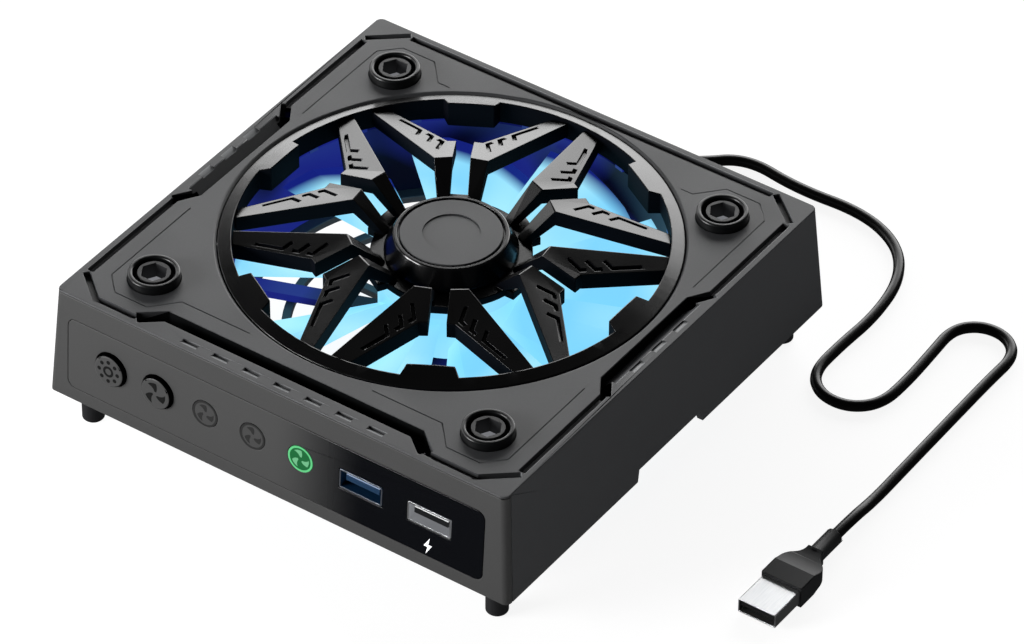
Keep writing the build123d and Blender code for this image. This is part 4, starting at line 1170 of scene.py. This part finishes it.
@dataclass
class Controls:
    """The window, keys, indicators, sockets and the board behind them.

    Attributes:
        shop: Where pieces are made.
        printer: Prints the marks.
        keys: Each key's place along the row, in millimetres.
        indicators: Each indicator's place along the row.
        bolt_place: Where the bolt is, along the row and above it.
        bolt: The bolt's outline.
        sun_ring: The outer and inner radius of the sun mark's middle, in millimetres.
        sun_rays: How many dots it has round it.
        sun_reach: How far out they lie.
        dot: The radius of one dot.
        dot_points: How finely a dot is drawn.
        key_fan: The radius of the fan on a key.
        lamp_fan: The radius of the fan on an indicator.
        rim: The outer and inner radius of an indicator's ring.
        key_face: A key's face points outwards by more than this.
        lip_face: So does a socket's lip, with its rounding.
        tongue_face: A tongue's top points up by more than this.
    """

    shop: Workshop
    printer: Printer
    keys: dict[str, float] = field(default_factory=lambda: {"light": -55.8, "speed": -39.75})
    indicators: dict[str, float] = field(
        default_factory=lambda: {"low": -23.7, "middle": -7.65, "high": 8.4}
    )
    bolt_place: tuple[float, float] = (51.0, -8.8)
    bolt: tuple[tuple[float, float], ...] = (
        (0.55, 2.8),
        (-1.35, -0.35),
        (-0.1, -0.35),
        (-0.6, -2.8),
        (1.35, 0.45),
        (0.15, 0.45),
    )
    sun_ring: tuple[float, float] = (1.75, 1.0)
    sun_rays: int = 8
    sun_reach: float = 3.1
    dot: float = 0.62
    dot_points: int = 16
    key_fan: float = 3.5
    lamp_fan: float = 2.9
    rim: tuple[float, float] = (4.1, 3.5)
    key_face: float = 0.8
    lip_face: float = 0.6
    tongue_face: float = 0.8

    def dress_keys(self) -> None:
        """Gives each key a light face, walls painted near black as painted shade, and its dark mark.
        """
        _, outward = self.printer.axes()
        sun = [ring(radius) for radius in self.sun_ring]
        for step in range(self.sun_rays):
            turn = math.tau * step / self.sun_rays
            x, y = self.sun_reach * math.cos(turn), self.sun_reach * math.sin(turn)
            sun.append(ring(self.dot, x, y, self.dot_points))
        marks = {"light": sun, "speed": fan_mark(self.key_fan)}
        for name, place in self.keys.items():
            key = f"{name}_key"
            # Painted shade: the key's walls are near black, and its face gets the front's grey below
            cap = self.shop.soften(
                f"{name}_button", f"{key}_cap", "cap_wall", "button_abs", Edge.SMALL_MOULDING, key
            )
            self.shop.paint_where(
                cap, "fascia", lambda _, normal: normal.dot(outward) > self.key_face
            )
            self.printer.mark(
                f"{key}_mark", marks[name], (place, 0), "print_dark", "button_abs", cap, key
            )
            self.shop.paint_nodes("nylon", f"{name}_switch", f"{name}_switch_plunger")

    def dress_indicators(self) -> None:
        """Prints a ring and a fan on each light pipe, bright on the lit one."""
        for name, place in self.indicators.items():
            lit = name == "high"
            node = f"{name}_indicator"
            self.shop.paint_nodes("lens_on" if lit else "lens_off", node)
            lens = self.shop.frame["nodes"][node]
            marks = {
                "rim": [ring(radius) for radius in self.rim],
                "fan": fan_mark(self.lamp_fan),
            }
            for part, outlines in marks.items():
                finish = f"print_{part}" if lit else "print_faint"
                self.printer.mark(
                    f"{name}_{part}_mark", outlines, (place, 0), finish, "light_pipe", lens
                )

    def dress_sockets(self) -> None:
        """Gives each socket a bright shell and a tongue with painted light on its top and painted
        shade on its walls.
        """
        _, outward = self.printer.axes()
        tops = {
            "data": ("blue_side", "blue_top", "blue_side", "dull"),
            "charge": ("black_side", "white_top", "throat", "bright"),
        }
        for name, (side, top, throat, lip) in tops.items():
            # Painted light: the charging socket's lining glows; the data socket's lining takes the
            # blue wall colour
            shell = self.shop.soften(
                f"{name}_socket_shell", f"{name}_shell", throat, "socket_steel", Edge.FOLDED_SHEET
            )
            self.shop.paint_where(
                shell, lip, lambda _, normal: normal.dot(outward) > self.lip_face
            )
            tongue = self.shop.soften(
                f"{name}_socket_tongue", f"{name}_tongue", side, f"{name}_tongue", Edge.FINE_TRIM
            )
            # Painted light on each tongue's top, painted shade on its walls
            self.shop.paint_where(tongue, top, lambda _, normal: normal.z > self.tongue_face)

    def build(self) -> None:
        """Dresses the front panel."""
        # Painted reflection: the window's left part is grey
        window = self.shop.soften(
            "control_window", "front_window", "window", "window_acrylic", Edge.CRISP_RIM
        )
        self.dress_keys()
        self.dress_indicators()
        self.dress_sockets()
        self.printer.mark(
            "bolt_mark", [list(self.bolt)], self.bolt_place, "print", "window_acrylic", window
        )
        self.shop.paint_nodes("lamp", "indicator_lamps")
        self.shop.paint_nodes("lamp_blue", "lamps")
        self.shop.paint_nodes("board", "control_board", "motor_board", "lamp_board")


@dataclass
class Fan:
    """The duct, the rotor and the motor.

    Attributes:
        shop: Where pieces are made.
    """

    shop: Workshop

    def build(self) -> None:
        """Dresses the fan's pieces."""
        # Painted light: the duct shows blue patches of light
        self.shop.paint_nodes("frame", "fan_frame")
        # Painted light: the rotor glows, and fades sooner towards the back-left as painted shade
        self.shop.paint_nodes("rotor", "fan_rotor")
        self.shop.paint_nodes("steel", "rotor_shaft", "lower_bearing", "upper_bearing")
        self.shop.paint_nodes("ferrite", "magnet_ring")
        self.shop.paint_nodes("iron", "stator_core")
        self.shop.paint_nodes("copper", "stator_windings")
        self.shop.paint_nodes("screw", "cover_screws", "fan_screws")


@dataclass
class Lead:
    """The captive lead, from its strain relief to its flat plug.

    Attributes:
        shop: Where pieces are made.
        diameter: The lead's thickness.
        length: Its real length, all of it shown but the stretch behind the body; not used.
        floor: The height of its middle where it lies on the surface, in millimetres.
        exit: Where it leaves the housing, in millimetres.
        plug_x: The plug's place across, in millimetres.
        plug_back: Where the plug's neck ends.
        plug_rise: How far before the neck the lead has risen to the plug's middle.
        plug_mid: The height of the plug's middle.
        order: The order of the curve through the route.
        steps: How finely the curve is drawn from one point to the next.
        ring_points: How finely its round section is drawn.
    """

    shop: Workshop
    diameter: float = 3.3 * MM
    length: float = 0.37
    floor: float = 1.65
    exit: tuple[float, float, float] = (-20.0, 88.89, 19.0)
    plug_x: float = 128.0
    plug_back: float = 4.7
    plug_rise: float = 9.0
    plug_mid: float = 3.4
    order: int = 3
    steps: int = 12
    ring_points: int = 6

    def route(self) -> list[tuple[float, float, float]]:
        """Lists the route of the solid lead, laid a little straighter before the plug.

        Returns:
            The route's points in millimetres.
        """
        low = self.floor
        return [
            self.exit,
            (-20.0, 98.39, 19.0),
            (-18.0, 106.0, 12.5),
            (-13.0, 111.5, 5.5),
            (-5.0, 115.0, low),
            (5.5, 119.5, low),
            (16.5, 130.0, low),
            (36.0, 126.6, low),
            (58.0, 128.2, low),
            (74.0, 121.5, low),
            (82.8, 108.5, low),
            (85.6, 91.0, low),
            (84.6, 74.0, low),
            (84.9, 60.3, low),
            (91.5, 53.5, low),
            (101.0, 53.5, low),
            (107.7, 60.3, low),
            (108.2, 72.5, low),
            (107.4, 86.5, low),
            (106.5, 98.8, low),
            (112.5, 105.0, low),
            (121.0, 105.0, low),
            (127.0, 98.8, low),
            (126.7, 86.5, low),
            (127.0, 67.0, low),
            (127.4, 43.0, low),
            (127.8, 25.0, low),
            (self.plug_x, self.plug_back + self.plug_rise, self.plug_mid),
            (self.plug_x, self.plug_back, self.plug_mid),
        ]

    def build(self) -> None:
        """Lays the lead and dresses its plug."""
        curve = bpy.data.curves.new("lead", "CURVE")
        curve.dimensions = "3D"
        spline = curve.splines.new("NURBS")
        points = self.route()
        spline.points.add(len(points) - 1)
        for point, place in zip(spline.points, points):
            point.co = (*(value * MM for value in place), 1.0)
        spline.order_u = self.order
        spline.use_endpoint_u = True
        spline.resolution_u = self.steps
        curve.bevel_depth = self.diameter / 2
        curve.bevel_resolution = self.ring_points
        lead = bpy.data.objects.new("lead", curve)
        bpy.context.scene.collection.objects.link(lead)
        curve.materials.append(self.shop.material("pvc"))
        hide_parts("power_cord")
        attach(lead, "root")
        moulding = self.shop.soften(
            "plug_overmould", "plug_moulding", "plug", "lead_pvc", Edge.SOFT_MOULDING
        )
        shell = self.shop.soften("plug_shell", "plug_tube", "bright", "plug_steel", Edge.FINE_TRIM)
        relief = self.shop.soften(
            "cord_gland", "strain_relief", "pvc", "lead_pvc", Edge.SMALL_MOULDING
        )
        self.shop.paint_nodes("insert", "plug_insert")
        LOG.info("lead laid through %d points", len(points))


@dataclass
class Studio:
    """The camera at the photograph's angle, a pale floor and soft lamps.

    Attributes:
        azimuth: The camera's turn to the right of the front, in degrees.
        elevation: Its height above the horizon, in degrees.
        roll: Its turn about its own axis, in degrees.
        distance: How far it stands from the point it looks at.
        aim: The point on the deck in the middle of the picture.
        lens: The focal length for the sensor.
        sensor: The sensor's width in millimetres.
        floor_size: The floor's width.
        paper: Its colour.
        paper_roughness: How far it spreads a highlight.
        table_glow: How strongly the floor shines round the object, like an opal light table.
        bright_glow: How strongly it shines in front of it.
        bright_side: The direction of that brighter part.
        bright_from: How far along it the light starts to rise, and where it is whole.
        sky: The strength of the light from all round.
        lamps: Each soft lamp's place, width and height in metres, and power in watts.
        lamp_aim: The point that the lamps face.
    """

    azimuth: float = 34.945
    elevation: float = 39.901
    roll: float = 0.313
    distance: float = 1.7559
    aim: tuple[float, float, float] = (0.03452, -0.01466, 0.0468)
    lens: float = 227.74
    sensor: float = 36.0
    floor_size: float = 12.0
    paper: str = "7C7C7C"
    paper_roughness: float = 0.9
    table_glow: float = 0.9
    bright_glow: float = 3.0
    bright_side: tuple[float, float, float] = (-0.35, -0.94, 0.0)
    bright_from: tuple[float, float] = (0.08, 0.4)
    sky: float = 0.03
    lamps: dict[str, tuple[tuple[float, float, float], tuple[float, float], float]] = field(
        default_factory=lambda: {
            "back_light": ((-0.48, 1.19, 0.47), (1.7, 0.98), 23.0),
            "left_light": ((-1.3, -0.02, 0.3), (1.2, 0.6), 4.0),
            "front_key": ((-0.95, -1.15, 0.45), (0.8, 0.5), 30.0),
        }
    )
    lamp_aim: tuple[float, float, float] = (0.0, 0.0, 30 * MM)

    def camera(self) -> None:
        """Places the camera."""
        data = bpy.data.cameras.new("camera")
        data.lens = self.lens
        data.sensor_width = self.sensor
        camera = bpy.data.objects.new("camera", data)
        bpy.context.scene.collection.objects.link(camera)
        turn, rise = math.radians(self.azimuth), math.radians(self.elevation)
        back = Vector(
            (math.sin(turn) * math.cos(rise), -math.cos(turn) * math.cos(rise), math.sin(rise))
        )
        camera.location = Vector(self.aim) + back * self.distance
        camera.rotation_mode = "QUATERNION"
        level = (-back).to_track_quat("-Z", "Y")
        camera.rotation_quaternion = level @ Quaternion((0, 0, 1), math.radians(self.roll))
        bpy.context.scene.camera = camera

    def floor(self) -> None:
        """Lays the pale floor."""
        bpy.ops.object.select_all(action="DESELECT")
        bpy.ops.mesh.primitive_plane_add(size=self.floor_size, location=(0, 0, 0))
        floor = bpy.context.active_object
        floor.name = "floor"
        material, tree, shader = new_material("opal_light_table")
        place = add_node(tree, "ShaderNodeTexCoord").outputs["Object"]
        ahead = add_node(
            tree,
            "ShaderNodeVectorMath",
            {"operation": "DOT_PRODUCT"},
            input0=place,
            input1=self.bright_side,
        ).outputs["Value"]
        glow = add_node(
            tree,
            "ShaderNodeMapRange",
            Value=ahead,
            From_Min=self.bright_from[0],
            From_Max=self.bright_from[1],
            To_Min=self.table_glow,
            To_Max=self.bright_glow,
        ).outputs["Result"]
        tree.links.new(glow, shader.inputs["Emission Strength"])
        shader.inputs["Base Color"].default_value = linear(self.paper)
        shader.inputs["Roughness"].default_value = self.paper_roughness
        shader.inputs["Emission Color"].default_value = linear(WHITE)
        floor.data.materials.append(material)
        floor.visible_glossy = False

    def softbox(
        self,
        name: str,
        place: tuple[float, float, float],
        size: tuple[float, float],
        power: float,
    ) -> None:
        """Hangs one rectangular soft lamp that faces the fan.

        Args:
            name: The lamp's name.
            place: Where its middle is.
            size: Its width and height.
            power: Its power in watts.
        """
        data = bpy.data.lights.new(name, "AREA")
        data.shape = "RECTANGLE"
        data.size, data.size_y = size
        data.energy = power
        lamp = bpy.data.objects.new(name, data)
        bpy.context.scene.collection.objects.link(lamp)
        lamp.location = place
        towards = Vector(self.lamp_aim) - Vector(place)
        lamp.rotation_euler = towards.to_track_quat("-Z", "Y").to_euler()

    def build(self) -> None:
        """Sets up the whole studio."""
        scene = bpy.context.scene
        scene.view_settings.view_transform = "Standard"
        world = bpy.data.worlds.new("studio")
        scene.world = world
        world.use_nodes = True
        background = world.node_tree.nodes["Background"]
        background.inputs["Color"].default_value = linear(WHITE)
        background.inputs["Strength"].default_value = self.sky
        self.camera()
        self.floor()
        for name, (place, size, power) in self.lamps.items():
            self.softbox(name, place, size, power)


def main() -> None:
    """Loads the frame, dresses it and lights it."""
    logging.basicConfig(level=logging.INFO, format="%(message)s")
    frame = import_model()
    shop = Workshop(frame)
    studio = Studio()
    studio.build()
    Lead(shop).build()
    Shell(shop).build()
    Grille(shop).build()
    Controls(shop, Printer(shop)).build()
    Fan(shop).build()


if __name__ == "__main__":
    main()
